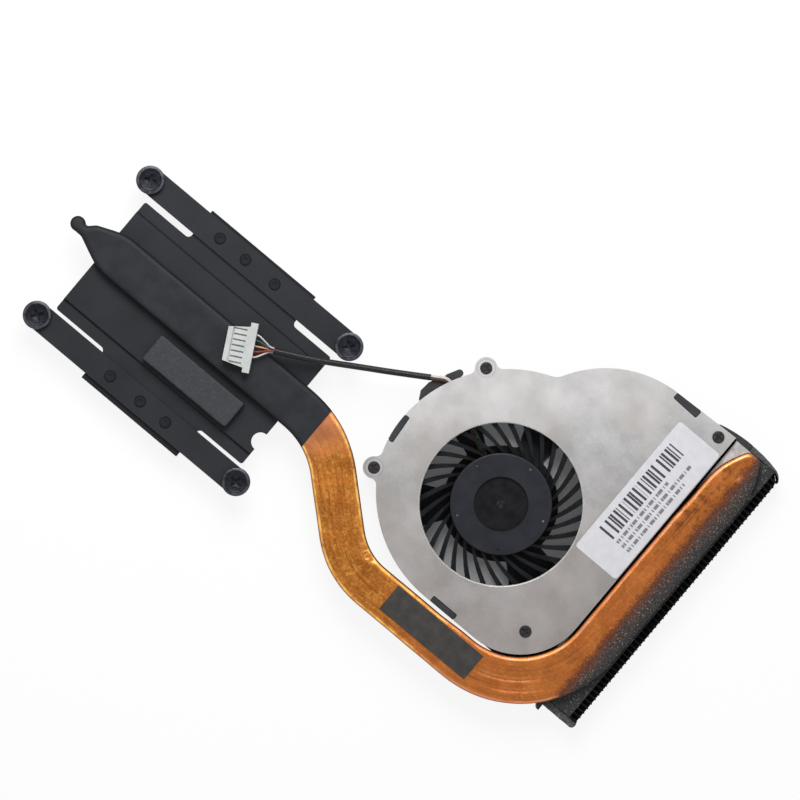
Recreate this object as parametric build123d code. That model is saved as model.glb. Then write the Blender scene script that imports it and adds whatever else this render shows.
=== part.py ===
from build123d import *
import os
from math import cos, degrees, hypot, radians, sin, sqrt, tan

# Laptop cooling module: processor plate, flat heat pipe, fin stack and blower fan, in millimetres.
# The origin is the middle of the copper contact face. +X runs along the spring arms towards the
# fan, +Y along the fin stack and +Z away from the processor.

# Heights
slug_t = 1.0            # copper slug under the plate
plate_t = 1.4           # plate between its two steps
flange_t = 0.8          # plate outside the steps, and its tabs
arm_t = 0.6             # spring arm
pipe_t = 2.5            # flattened heat pipe
fin_h = 6.0             # fin stack, from the resting plane to the pipe
fan_h = 7.5             # blower, from the resting plane to the top of its cover

# Processor plate
slug_x = 26.0
slug_y = 24.0
plate_x = 54.0
plate_y = 31.0
plate_mid_x = 0.3
plate_mid_y = -0.35
step_y = 25.6           # width of the thick middle of the plate
step_bevel = 0.4
tab_upper_x = (-14.0, 16.0)
tab_lower_x = (-12.5, 15.0)
tab_upper_reach = 0.7   # how far a tab shows past its arm
tab_lower_reach = 1.3
slot_end_r = 1.0
notch_r = 2.1
notch_y = -9.3
plate_corner_r = 0.6

# Spring arms, rivets and captive screws
screw_dx = 57.7         # screw spacing along the arms
screw_dy = 39.2         # screw spacing across the arms
arm_w = 6.0
rivet_upper_x = (-8.7, -1.3, 7.2)
rivet_lower_x = (-7.7, 1.0, 8.3)
rivet_shank_r = 0.75
rivet_head_r = 1.3
rivet_head_t = 0.3
rivet_dimple_r = 0.6
rivet_dimple_depth = 0.2
thread_r = 1.0
thread_tip = 0.3        # chamfer at the tip of a screw
shoulder_r = 1.5
shoulder_play = 0.4     # travel of a screw before its retaining ring meets the arm
shoulder_end = 0.4      # shoulder below the retaining ring
groove_step = 0.1       # groove of the retaining ring, outside the thread
screw_head_r = 3.2
screw_head_t = 1.3
screw_head_bevel = 0.25
dish_r = 2.6            # dished middle of the head
dish_depth = 0.35
dish_slope = 0.3
cross_length = 2.8
cross_width = 0.6
cross_depth = 0.6
retainer_r = 2.4
retainer_t = 0.4
retainer_mouth = 1.9    # open side of the retaining ring
fit = 0.05              # clearance of a piece on its shank, shaft or tube
loose = 0.15            # clearance of a piece that must move or drop in

# Heat pipe
pipe_w = 10.2
pipe_edge_r = 1.05      # rounding of the pipe's edges
pipe_y = 1.85           # its line over the plate
taper_x = -25.0         # where the crimped end starts
nub_x = -34.9
nub_r = 1.75
neck_high_in = 0.85     # neck beside the nub, inside the nub's upper and lower side
neck_low_in = 0.05
neck_high_l = 1.9       # its length on each side, from the middle of the nub
neck_low_l = 2.3
neck_flare = 1.5        # short steep start of the taper on its upper side
neck_r = 0.5
neck_flare_r = 1.6
nub_blend_r = 0.2
taper_r = 14.0
bend_slope = 42.0       # degrees between the two bends of the S
pipe_ear_gap = 1.5      # between the sloping run and the lower ear of the cover
bend1_r = 22.5
bend2_r = 18.0
bend3_r = 22.0          # quarter bend beside the fan
fin_end_taper = 6.5     # length of the crimped end on the fins
fin_end_w = 3.4
fin_end_r = 2.0
fin_end_blend_r = 19.0

# Fan plan
fan_x = 77.2            # fan axis
fan_y = 14.5
impeller_r = 24.0
impeller_gap = 1.2      # from the blade tips to the lower wall, where the scroll is narrowest
scroll_room = 3.75      # from the blade tips to the left wall
scroll_left_rise = 0.5  # leftmost point of the scroll, above the fan axis
joint_angle = 200.65    # where its left and lower arcs meet, hidden by the lower ear
joint_out = -0.5
outlet_reach = 30.5     # from the fan axis to the outlet edge of the cover
neck_back = 8.4         # neck of the scroll, left of the fan axis and above it
neck_rise = 29.5
scroll_neck_r = 4.0
shoulder_reach = 14.1   # start of the straight shoulder, right of the fan axis
shoulder_drop = 0.65    # and below the top corner of the outlet edge
outlet_over = 0.35      # top corner of the outlet edge, past the last fin
cover_t = 0.5
pipe_gap = 0.8          # between the cover and the pipe
inlet_r = 18.1
inlet_bevel = 0.3
ear_r = 2.5
ear_blend_r = 1.5
ear_low_angle = 203.86  # lower ear, seen from the fan axis, and out from the scroll
ear_low_out = 0.25
ear_high_angle = 138.8  # upper ear, seen from the middle of the arc that it sits on
ear_high_out = 0.54
outlet_screw_back = 3.1   # screw in the top corner, from the outlet edge and the corner
outlet_screw_down = 2.4
tongue_screw_back = 8.2   # screw at the tongue, from the outlet edge and the lower edge
tongue_screw_up = 8.4
clip_w = 6.8
clip_depth = 1.5
clip_corner_r = 0.4
clip_left_angle = 185.25
clip_low_out = 5.0      # lower clip, right of the fan axis
clip_top_out = 3.4      # upper clip, past the start of the shoulder

# Fan housing
wall_t = 1.2
floor_t = 0.8
cover_lip = 0.2         # the cover stands proud of the housing by this much
boss_step = 0.4         # screw bosses stay inside the ears by this much
base_inlet_in_r = 13.0
base_inlet_out_r = 18.6
base_inlet_corner_r = 0.8
base_inlets = ((-8.0, 84.0), (112.0, 144.0), (164.0, 206.0), (236.0, 316.0))
arm_upper_back = 4.4    # outlet arms, before and past the outlet edge
arm_upper_out = 4.1
arm_lower_back = 7.7
arm_lower_out = 5.3
outlet_arm_t = 1.2
hook_w = 2.2            # hook at the end of the lower outlet arm
hook_drop = 2.0
tongue_angle = -72.0    # where the tongue meets the lower wall
pilot_depth = 5.0
tube_step = 0.8         # step of the bearing tube that carries the stator
exit_angle = 154.0      # cable exit, seen from the fan axis
exit_w = 3.8
exit_side = -0.6        # middle of the exit, to one side of its direction
exit_drop = 1.3         # sill of the cable exit, below the underside of the cover
guard_out = 0.9         # middle of the guards beside the exit, out from the wall
guard_w = 1.7
guard_finger_l = 4.3
guard_lean = 2.0
guard_wedge_l = 7.2
guard_wedge_out = 0.9   # belly of the wedge
lead_channel_depth = 0.6
channel_r = 8.4         # inner end of the lead channel, under the board
wire_drop_in = 3.5      # where the leads drop, in from the wall

# Cover screws
cover_screw_r = 0.7
cover_screw_head_r = 1.35
cover_screw_head_t = 0.5
cover_screw_length = 4.0
small_cross_length = 1.7
small_cross_width = 0.4
small_cross_depth = 0.3

# Rotor
blade_count = 31
blade_w = (0.8, 1.3, 1.6)   # width of a blade round the axis at its root, middle and tip
blade_root = 0.3        # how far a blade starts inside the hub
blade_mid_angle = 20.5  # sweep of a blade at its middle and its tip
blade_tip_angle = 32.5
blade_start = -2.8      # angle of the first blade at the hub
blade_floor_gap = 0.6
blade_cover_gap = 0.9
blade_ring_w = 1.2
blade_ring_t = 0.6
hub_r = 11.5
hub_wall = 1.4
hub_top_t = 0.7
hub_window_r = 6.1
hub_edge_r = 0.5
hub_cover_gap = 0.4     # hub top below the underside of the cover
hub_dimple_r = 0.35
hub_dimple_in = 1.3     # dimples, in from the hub's rim
hub_dimples = 5
hub_dimple_depth = 0.3
cup_t = 0.6
cup_boss_step = 0.25    # boss under the cup, inside the bearing's radius
cup_boss_t = 0.6
rotor_gap = 0.35        # clearance between the rotor and the bearing tube
magnet_t = 1.2
magnet_gap = 0.9        # between the magnet and the board
shaft_r = 1.0
shaft_end_gap = 0.05

# Motor and bearing
tube_r = 3.0            # bearing tube of the housing
bearing_r = 2.0
bearing_gap = 0.03      # running clearance round the shaft
thrust_t = 0.3
stator_air_gap = 0.4
stator_poles = 6
stator_h = 1.6
stator_yoke_t = 1.0
pole_w = 1.5
pole_shoe_t = 0.8
pole_shoe_angle = 46.0
coil_t = 0.4
board_gap = 0.2         # board inside the hub's wall
board_t = 0.6

# Fin stack
fin_depth = 13.45
fin_gap = 0.5           # between the cover's edge and the fins
fin_pitch = 1.31
fin_count = 55
fin_t = 0.3
fin_inset = 0.05        # first fin, inside the lower edge of the cover
fin_roof_back = 2.35    # bare ends of the fins past the folded roof
fin_lip = 0.3           # folded floor past the ends of the fins
fin_corner_r = 2.6      # rounded outer corner at the upper end

# Strips, tape and label
band_start = 0.45       # arched band over the upper end of the fins: its height at its start,
band_rise = 1.45        # at its crown and at the rounded corner, and how far it wraps round the corner
band_crown_out = 1.8
band_shoulder = 0.7
band_drop = 1.55
seal_t = 1.7            # strip at the lower end
seal_top_drop = 0.4     # seals end this far below the pipe
seal_corner_r = 1.0
foam_x = (-4.8, 19.3)
foam_y = (-12.0, -5.0)
foam_t = 2.2
foam_edge = 0.4
tape_left = 5.9         # tape on the pipe, left and right of the fan axis
tape_right = 18.6
tape_low = 2.6          # and below and above the pipe's line
tape_high = 4.1
tape_t = 0.3
label_w = 11.8
label_l = 36.2
label_edge = 0.2        # label, in from the outlet edge
label_down = 5.15       # and below the top corner
label_t = 0.1
label_corner_r = 0.8

# Cable and connector
lead_r = 0.2
lead_pitch = 0.48
lead_straight = 1.0     # straight length of a lead inside the fan
lead_leave = 0.6        # straight length where the leads leave the connector
lead_run = 3.9          # straight length from the sleeve to the fan's wall
lead_gather = 0.8       # straight length where the leads enter the sleeve
lead_seat = 0.7         # how far a lead goes into the connector
bundle_places = ((1.0, -0.3), (0.5, 0.6), (0.0, -0.3), (-0.5, 0.6), (-1.0, -0.3))
lead_names = ("white", "green", "orange", "red", "pink")
fan_order = (0, 3, 2, 4, 1)   # place of each lead in the bundle at the fan
sleeve_r = 0.7
sleeve_route = ((16.6, 8.2, 6.35), (22.4, 11.05, 5.75), (28.0, 14.25, 4.85), (34.0, 17.95, 3.8),
                (40.4, 21.8, 3.0), (47.1, 26.05, 2.8))
plug_at = (12.3, 5.3)   # middle of the connector's rear flange
plug_angle = 28.5       # direction in which the leads leave
plug_count = 6
plug_pitch = 1.25
plug_h = 2.9
plug_side = 0.05        # body past the middle of its outer slits
plug_flare = 0.8        # body widens this much on each side towards the flange
plug_flange_step = 1.0  # flange past the body on each side
plug_flange_t = 1.6
plug_body_l = 4.8
plug_lip = 1.1          # plain lip in front of the comb of slits
plug_comb_l = 3.2
plug_slit_w = 0.35
plug_slit_depth = 0.6
plug_wall = 0.5
plug_mouth_w = 0.75
plug_mouth_h = 1.3
plug_mouth_depth = 3.4
contact_w = 0.45
contact_t = 0.3

# Levels that follow from the heights
plate_z = slug_t
arm_z = plate_z + flange_t
pipe_z = plate_z + plate_t
pipe_top = pipe_z + pipe_t
rest_z = pipe_z - fin_h
cover_top = rest_z + fan_h
cover_z = cover_top - cover_t
floor_top = rest_z + floor_t
housing_low_top = pipe_z - loose
exit_sill = cover_z - exit_drop
channel_z = floor_top - lead_channel_depth

hub_top = cover_z - hub_cover_gap
cup_top = hub_top - hub_top_t
cup_under = cup_top - cup_t
tube_top = cup_under - rotor_gap
bearing_top = cup_under - cup_boss_t - rotor_gap
magnet_z = floor_top + board_t + magnet_gap
blade_z = floor_top + blade_floor_gap
blade_top = cover_z - blade_cover_gap
stator_z = (cup_under + magnet_z) / 2 - stator_h / 2


def polar(middle, radius, angle):
    """Point at a radius and an angle in degrees from a middle point."""
    return (middle[0] + radius * cos(radians(angle)), middle[1] + radius * sin(radians(angle)))


def reach(start, angle, middle, radius):
    """Distance from a point inside a circle to the circle, in the direction of an angle."""
    to_middle = Vector(*middle) - Vector(*start)
    along = to_middle.dot(Vector(*polar((0, 0), 1, angle)))
    return along + sqrt(along ** 2 - to_middle.length ** 2 + radius ** 2)


# Fan plan: a lower arc, a left arc, an upper arc to the neck, a shoulder and a straight outlet

fan_axis = (fan_x, fan_y)
cover_x1 = fan_x + outlet_reach
cover_y0 = fan_y - impeller_r - impeller_gap - wall_t - cover_lip
scroll_r = impeller_r + scroll_room + wall_t + cover_lip
scroll_left = (fan_x - scroll_r, fan_y + scroll_left_rise)
scroll_joint = polar(fan_axis, scroll_r + joint_out, joint_angle)
left_chord = Vector(*scroll_joint) - Vector(*scroll_left)
left_r = left_chord.length ** 2 / (2 * left_chord.X)
left_mid = (scroll_left[0] + left_r, scroll_left[1])
scroll_neck = (fan_x - neck_back, fan_y + neck_rise)
upper_chord = Vector(*scroll_neck) - Vector(*scroll_left)
upper_r = upper_chord.length ** 2 / (2 * upper_chord.X)
upper_mid = (scroll_left[0] + upper_r, scroll_left[1])
fin_x0 = cover_x1 + fin_gap
fin_x1 = fin_x0 + fin_depth
fin_y0 = cover_y0 + fin_inset
fin_y1 = fin_y0 + (fin_count - 1) * fin_pitch + fin_t
outlet_top = (cover_x1, fin_y1 + outlet_over)
shoulder_start = (fan_x + shoulder_reach, outlet_top[1] - shoulder_drop)
cover_corner_r = bend3_r - pipe_w / 2 - pipe_gap
ear_low = polar(fan_axis, scroll_r + ear_low_out, ear_low_angle)
ear_high = polar(upper_mid, upper_r + ear_high_out, ear_high_angle)
tongue_screw = (cover_x1 - tongue_screw_back, cover_y0 + tongue_screw_up)
outlet_screw = (cover_x1 - outlet_screw_back, outlet_top[1] - outlet_screw_down)
cover_screw_places = [ear_low, ear_high, outlet_screw, tongue_screw]
boss_r = ear_r - boss_step
arm_upper_x = (cover_x1 - arm_upper_back, cover_x1 + arm_upper_out)
arm_lower_x = (cover_x1 - arm_lower_back, cover_x1 + arm_lower_out)
exit_wall_r = reach(fan_axis, exit_angle, upper_mid, upper_r)
guard_r = exit_wall_r + guard_out
wire_drop_r = exit_wall_r - wire_drop_in

# Rotor and motor, from the hub inwards

cup_r = hub_r - hub_wall - fit
magnet_r = cup_r - cup_t - fit
stator_r = magnet_r - magnet_t - stator_air_gap
cup_boss_r = bearing_r - cup_boss_step
board_r = hub_r - hub_wall - board_gap

# Line of the pipe: past the lower ear, along the lower edge of the cover and up the fins

run_y = cover_y0 - pipe_gap - pipe_w / 2
fin_line_x = cover_x1 + pipe_gap + pipe_w / 2
slope = radians(bend_slope)
ear_off_line = pipe_w / 2 + pipe_ear_gap + ear_r
bend1_x = ear_low[0] - (ear_off_line - (ear_low[1] - pipe_y) * cos(slope)) / sin(slope)
bend2_x = bend1_x + (pipe_y - run_y) / tan(slope)

# Connector ways and widths

mouth_ways = [((plug_count - 1) / 2 - i) * plug_pitch for i in range(plug_count)]
plug_ways = mouth_ways[:len(lead_names)]
plug_body_w = plug_count * plug_pitch + 2 * plug_side
plug_root_w = plug_body_w + 2 * plug_flare
plug_flange_w = plug_root_w + 2 * plug_flange_step


def span(x, y):
    """Rectangle between two X and two Y limits."""
    return Pos((x[0] + x[1]) / 2, (y[0] + y[1]) / 2) * Rectangle(x[1] - x[0], y[1] - y[0])


def block(x, y, z):
    """Block between two limits on each axis."""
    return slab(span(x, y), *z)


def slab(plan, low, high):
    """Plan raised from one level to another."""
    return Pos(0, 0, low) * extrude(plan, high - low, dir=(0, 0, 1))


def turned(profile_points):
    """Solid of revolution about Z from radius and height points."""
    profile = make_face(Plane.XZ * Polyline(*profile_points, close=True))
    return revolve(profile, Axis.Z)


def ring(outer_r, inner_r, low, high):
    """Plain tube about Z."""
    return slab(Circle(outer_r) - Circle(inner_r), low, high)


def cross_recess(length, width, depth, top):
    """Cutter for a cross slot in a screw head whose top is at the given level."""
    cross = Rectangle(length, width) + Rectangle(width, length)
    return slab(cross, top - depth, top + depth)


def copies(piece, places):
    """One group of separate solids, a copy of the piece at each place."""
    return Compound(children=[Pos(*place) * piece for place in places])


# Plate, arms and screws

screw_places = [(sx * screw_dx / 2, sy * screw_dy / 2) for sx in (-1, 1) for sy in (-1, 1)]
arm_y = screw_dy / 2
tab_upper_edge = arm_y + arm_w / 2 + tab_upper_reach
tab_lower_edge = -arm_y - arm_w / 2 - tab_lower_reach
retainer_z = arm_z - shoulder_play - retainer_t
groove_r = thread_r + groove_step
rivet_places = [(x, arm_y) for x in rivet_upper_x] + [(x, -arm_y) for x in rivet_lower_x]


def contact_slug():
    slug = block((-slug_x / 2, slug_x / 2), (-slug_y / 2, slug_y / 2), (0, slug_t))
    return chamfer(slug.edges().filter_by(Axis.Z), plate_corner_r)


def base_plate():
    half_x = plate_x / 2
    ends = (plate_mid_x - half_x, plate_mid_x + half_x)
    low_y = plate_mid_y - plate_y / 2
    high_y = plate_mid_y + plate_y / 2
    middle = span(ends, (plate_mid_y - step_y / 2, plate_mid_y + step_y / 2))
    plan = fillet(span(ends, (low_y, high_y)).vertices(), plate_corner_r)
    plan += span(tab_upper_x, (plate_mid_y, tab_upper_edge))
    plan += span(tab_lower_x, (tab_lower_edge, plate_mid_y))
    inner_corners = [v for v in plan.vertices() if abs(v.Y - low_y) < fit or abs(v.Y - high_y) < fit]
    slot_ends = [v for v in inner_corners if abs(v.X - plate_mid_x) < half_x - plate_corner_r - fit]
    plan = fillet(slot_ends, slot_end_r)
    raised = slab(middle, plate_z, pipe_z)
    upper_edges = raised.edges().group_by(Axis.Z)[-1].filter_by(Axis.X)
    raised = chamfer(upper_edges, step_bevel)
    plate = slab(plan, plate_z, arm_z) + raised
    plate -= Pos(ends[1], notch_y, plate_z) * Cylinder(notch_r, 4 * plate_t)
    for x, y in rivet_places:
        plate -= Pos(x, y, plate_z) * Cylinder(rivet_shank_r + fit, 4 * plate_t)
    return plate


def spring_arm(side, rivet_x):
    plan = SlotCenterToCenter(screw_dx, arm_w)
    for x in (-screw_dx / 2, screw_dx / 2):
        plan -= Pos(x, 0) * Circle(shoulder_r + loose)
    for x in rivet_x:
        plan -= Pos(x, 0) * Circle(rivet_shank_r + fit)
    return Pos(0, side * arm_y) * slab(plan, arm_z, arm_z + arm_t)


def arm_rivets():
    low, high = plate_z, arm_z + arm_t
    rivet = turned([
        (0, low - rivet_head_t), (rivet_head_r, low - rivet_head_t), (rivet_head_r, low),
        (rivet_shank_r, low), (rivet_shank_r, high), (rivet_head_r, high),
        (rivet_head_r - rivet_head_t / 2, high + rivet_head_t), (rivet_dimple_r, high + rivet_head_t),
        (0, high + rivet_head_t - rivet_dimple_depth),
    ])
    return copies(rivet, rivet_places)


def captive_screws():
    """Screws with a dished head, a shoulder with a groove for the retaining ring, and a plain shank."""
    seat = arm_z + arm_t
    top = seat + screw_head_t
    dish = top - dish_depth
    shoulder_z = retainer_z - shoulder_end
    screw = turned([
        (0, rest_z), (thread_r - thread_tip, rest_z), (thread_r, rest_z + thread_tip),
        (thread_r, shoulder_z), (shoulder_r, shoulder_z), (shoulder_r, retainer_z),
        (groove_r, retainer_z), (groove_r, retainer_z + retainer_t), (shoulder_r, retainer_z + retainer_t),
        (shoulder_r, seat), (screw_head_r, seat), (screw_head_r, top - screw_head_bevel),
        (screw_head_r - screw_head_bevel, top), (dish_r, top), (dish_r - dish_slope, dish), (0, dish),
    ])
    screw -= Rot(0, 0, 45) * cross_recess(cross_length, cross_width, cross_depth, dish)
    return copies(screw, screw_places)


def screw_retainers():
    """Open rings that snap into the grooves of the screws."""
    plan = Circle(retainer_r) - Circle(groove_r + fit)
    plan -= span((0, retainer_r), (-retainer_mouth / 2, retainer_mouth / 2))
    return copies(slab(plan, retainer_z, retainer_z + retainer_t), screw_places)


# Heat pipe

def side_corner(before, at, after, distance):
    """Corner of a line that runs beside a bent line, to its left for a positive distance."""
    first = (Vector(at) - Vector(before)).normalized()
    second = (Vector(after) - Vector(at)).normalized()
    left_first = Vector(-first.Y, first.X)
    left_second = Vector(-second.Y, second.X)
    reach = (left_first + left_second) * (distance / (1 + left_first.dot(left_second)))
    return Vector(at) + reach


def heat_pipe():
    fin_end_y = fin_y1
    line = [(taper_x, pipe_y), (bend1_x, pipe_y), (bend2_x, run_y), (fin_line_x, run_y),
            (fin_line_x, fin_end_y - fin_end_taper)]
    bends = (-bend1_r, bend2_r, bend3_r)
    half = pipe_w / 2
    sides = []
    for side in (1, -1):
        corners = [side_corner(*line[i - 1:i + 2], side * half) for i in (1, 2, 3)]
        radii = [abs(bend - side * half) if bend > 0 else abs(bend) + side * half for bend in bends]
        taper_start = Vector(taper_x, pipe_y + side * half)
        taper_end = Vector(fin_line_x - side * half, fin_end_y - fin_end_taper)
        end = Vector(fin_line_x - side * fin_end_w / 2, fin_end_y)
        if side > 0:
            tip = Vector(nub_x, pipe_y + nub_r - neck_high_in)
            neck = [tip, tip + Vector(neck_high_l, 0), tip + Vector(neck_high_l + neck_flare, neck_flare)]
            neck_radii = [0, neck_r, neck_flare_r]
        else:
            tip = Vector(nub_x, pipe_y - nub_r + neck_low_in)
            neck = [tip, tip + Vector(neck_low_l, 0)]
            neck_radii = [0, neck_r]
        points = [*neck, taper_start, *corners, taper_end, end]
        sides.append((points, [*neck_radii, taper_r, *radii, fin_end_blend_r, fin_end_r]))
    (left, left_radii), (right, right_radii) = sides
    outline = FilletPolyline(
        *left, *reversed(right), radius=[*left_radii, *reversed(right_radii)], close=True)
    plan = make_face(outline)
    plan += Pos(nub_x, pipe_y) * Circle(nub_r)
    nub = Vector(nub_x, pipe_y)
    necks = [v for v in plan.vertices() if v.X > nub_x and abs((Vector(v) - nub).length - nub_r) < fit]
    plan = fillet(necks, nub_blend_r)
    pipe = slab(plan, pipe_z, pipe_top)
    return fillet(pipe.faces().filter_by(Axis.Z).edges(), min(pipe_edge_r, 0.45 * pipe_t))


def pipe_tape():
    plan = span((fan_x - tape_left, fan_x + tape_right), (run_y - tape_low, run_y + tape_high))
    return slab(plan, pipe_top, pipe_top + tape_t)


def plate_foam():
    foam = block(foam_x, foam_y, (pipe_z, pipe_z + foam_t))
    return fillet(foam.edges().filter_by(Axis.Z) + foam.edges().group_by(Axis.Z)[-1], foam_edge)


# Fin stack and its end strips

def fin_plan():
    """Plan of the fin stack, with its rounded outer corner at the upper end."""
    plan = span((fin_x0, fin_x1), (fin_y0, fin_y1))
    return fillet(plan.vertices().sort_by_distance((fin_x1, fin_y1))[0], fin_corner_r)


def fin_stack():
    """Folded fins side by side, each with a roof and a floor that reach the next one."""
    stack = slab(fin_plan(), rest_z, pipe_z)
    past = fin_depth
    stack -= block((fin_x1 - fin_lip, fin_x1 + past), (fin_y0, fin_y1), (rest_z + fin_t, pipe_z))
    channel = make_face(Plane.XZ * Polyline(
        (fin_x0 - past, rest_z + fin_t), (fin_x1 + past, rest_z + fin_t),
        (fin_x1 + past, pipe_z + fin_t), (fin_x1 - fin_roof_back, pipe_z + fin_t),
        (fin_x1 - fin_roof_back, pipe_z - fin_t), (fin_x0 - past, pipe_z - fin_t), close=True))
    cut = extrude(channel, fin_pitch - fin_t, dir=(0, 1, 0))
    starts = [fin_y0 + fin_t + i * fin_pitch for i in range(fin_count - 1)]
    return stack - [Pos(0, y) * cut for y in starts]


def end_band(low_x, high_x):
    """Plan of the arched band over the upper end of the fins, between two X limits."""
    low_y = fin_y1 + fit
    start = (arm_upper_x[0], low_y + band_start)
    crown = (fin_x0 + band_crown_out, low_y + band_rise)
    shoulder = (fin_x1 - fin_corner_r, low_y + band_shoulder)
    end = (fin_x1, low_y - band_drop)
    arch = ThreePointArc(start, crown, shoulder)
    corner = TangentArc(shoulder, end, tangent=arch % 1)
    back = Polyline(end, (shoulder[0], end[1]), (shoulder[0], low_y), (start[0], low_y), start)
    plan = make_face([arch, corner, back]) - offset(fin_plan(), fit)
    return plan & span((low_x, high_x), (end[1], low_y + 2 * band_rise))


def outlet_seal_upper():
    return slab(end_band(arm_upper_x[1] + fit, fin_x1), rest_z, pipe_z - seal_top_drop)


def outlet_seal_lower():
    """Strip over the lower end of the fin stack, rounded at its outer corner."""
    plan = span((arm_lower_x[1] + fit, fin_x1), (fin_y0 - fit - seal_t, fin_y0 - fit))
    corner = plan.vertices().sort_by_distance((fin_x1, fin_y0 - seal_t))[0]
    plan = fillet(corner, min(seal_corner_r, 0.9 * seal_t))
    return slab(plan, rest_z, pipe_z - seal_top_drop)


# Fan cover and housing

def in_fan(piece):
    """Piece modelled about its own axis, moved to the fan axis."""
    return Pos(*fan_axis) * piece


def fan_plan(corner_r):
    """Plan of the blower without its ears: scroll, shoulder, straight outlet and lower edge."""
    low = (fan_x, cover_y0)
    low_corner = (cover_x1, cover_y0)
    along_top = Vector(shoulder_start) - Vector(outlet_top)
    plan = make_face([
        TangentArc(scroll_left, scroll_neck, tangent=(0, 1)),
        TangentArc(shoulder_start, scroll_neck, tangent=along_top),
        Line(shoulder_start, outlet_top),
        Line(outlet_top, low_corner),
        Line(low_corner, low),
        TangentArc(low, scroll_joint, tangent=(-1, 0)),
        TangentArc(scroll_left, scroll_joint, tangent=(0, -1)),
    ])
    plan = fillet(plan.vertices().sort_by_distance(scroll_neck)[0], scroll_neck_r)
    if corner_r > 0:
        plan = fillet(plan.vertices().sort_by_distance(low_corner)[0], corner_r)
    return plan


def with_ears(plan, radius, blend):
    """Plan with a round ear blended on at each ear screw."""
    for ear in (ear_low, ear_high):
        plan += Pos(*ear) * Circle(radius)
        joins = [v for v in plan.vertices() if abs((Vector(v) - Vector(ear)).length - radius) < fit]
        plan = fillet(joins, blend)
    return plan


def clip_plans(inset):
    """Plans of the three clips across the edge of the cover, cut back by the inset on each side."""
    along_top = Vector(outlet_top) - Vector(shoulder_start)
    top_angle = Vector(1, 0).get_signed_angle(along_top)
    top_y = shoulder_start[1] + clip_top_out * tan(radians(top_angle))
    places = [
        Pos(*polar(left_mid, left_r, clip_left_angle)) * Rot(0, 0, clip_left_angle - 90),
        Pos(fan_x + clip_low_out, cover_y0) * Rot(0, 0, 180),
        Pos(shoulder_start[0] + clip_top_out, top_y) * Rot(0, 0, top_angle),
    ]
    clip = RectangleRounded(clip_w - 2 * inset, 2 * (clip_depth - inset), clip_corner_r)
    return [place * clip for place in places]


def fan_cover():
    plan = with_ears(fan_plan(cover_corner_r), ear_r, ear_blend_r)
    for notch in clip_plans(0):
        plan -= notch
    for place in cover_screw_places:
        plan -= Pos(*place) * Circle(cover_screw_r + loose)
    plan -= in_fan(Circle(inlet_r))
    cover = slab(plan, cover_z, cover_top)
    rim = cover.edges().filter_by(GeomType.CIRCLE).filter_by(
        lambda e: abs(e.radius - inlet_r) < fit and e.center().Z > cover_z + fit)
    return chamfer(rim, inlet_bevel)


def cover_label():
    right, top = outlet_top[0] - label_edge, outlet_top[1] - label_down
    plan = fillet(span((right - label_w, right), (top - label_l, top)).vertices(), label_corner_r)
    return slab(plan, cover_top, cover_top + label_t)


def cover_screws():
    top = cover_top + cover_screw_head_t
    bottom = cover_top - cover_screw_length
    screw = turned([
        (0, bottom), (cover_screw_r, bottom), (cover_screw_r, cover_top),
        (cover_screw_head_r, cover_top), (cover_screw_head_r, top - cover_screw_head_t / 2),
        (cover_screw_head_r - cover_screw_head_t / 2, top), (0, top),
    ])
    screw -= cross_recess(small_cross_length, small_cross_width, small_cross_depth, top)
    return copies(screw, cover_screw_places)


def base_inlet(start, end):
    """Plan of one kidney-shaped inlet in the floor, between two angles about the fan axis."""
    inner = CenterArc((0, 0), base_inlet_in_r, start, end - start)
    outer = CenterArc((0, 0), base_inlet_out_r, start, end - start)
    plan = make_face([inner, outer, Line(inner @ 0, outer @ 0), Line(inner @ 1, outer @ 1)])
    return fillet(plan.vertices(), base_inlet_corner_r)


def exit_frame(piece):
    """Piece modelled with +X outwards, turned to the cable exit."""
    return in_fan(Rot(0, 0, exit_angle) * piece)


def cable_exit_guard():
    """Ledge outside the wall, below the leads: a rounded finger on one side and a wedge on the other."""
    finger = SlotOverall(guard_finger_l, guard_w)
    finger = Pos(guard_r, -guard_finger_l / 2) * Rot(0, 0, 90 - guard_lean) * finger
    in_r = guard_r - 2 * guard_w
    belly_r = guard_r + guard_wedge_out
    wedge = make_face(Polyline(
        (in_r, 0), (guard_r, 0), (belly_r, guard_wedge_l / 4), (belly_r, guard_wedge_l / 2),
        (guard_r, 5 * guard_wedge_l / 6), (guard_r - guard_w, guard_wedge_l), (in_r, guard_wedge_l),
        close=True))
    web = span((in_r, guard_r), (-guard_finger_l + guard_w / 2, 0))
    return exit_frame(slab(finger + web + wedge, rest_z, exit_sill))


def tongue():
    """Curved wall from the lower side of the scroll to the screw boss beside the outlet."""
    boss = Vector(*tongue_screw) - Vector(*fan_axis)
    end = -Vector(1, 0).get_angle(boss)
    radius = boss.length - boss_r
    arc = CenterArc(fan_axis, radius, end, tongue_angle - end)
    return slab(SlotArc(arc, wall_t), rest_z, cover_z)


def outlet_opening():
    """Cutter for the open side towards the fins, which leaves the screw boss in its upper corner."""
    opening = block((cover_x1 - 2 * cover_lip - wall_t, cover_x1),
                    (cover_y0 + cover_lip + wall_t, fin_y1 - wall_t), (floor_top, cover_top))
    return opening - Pos(*outlet_screw) * slab(Circle(boss_r), floor_top, cover_top)


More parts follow.
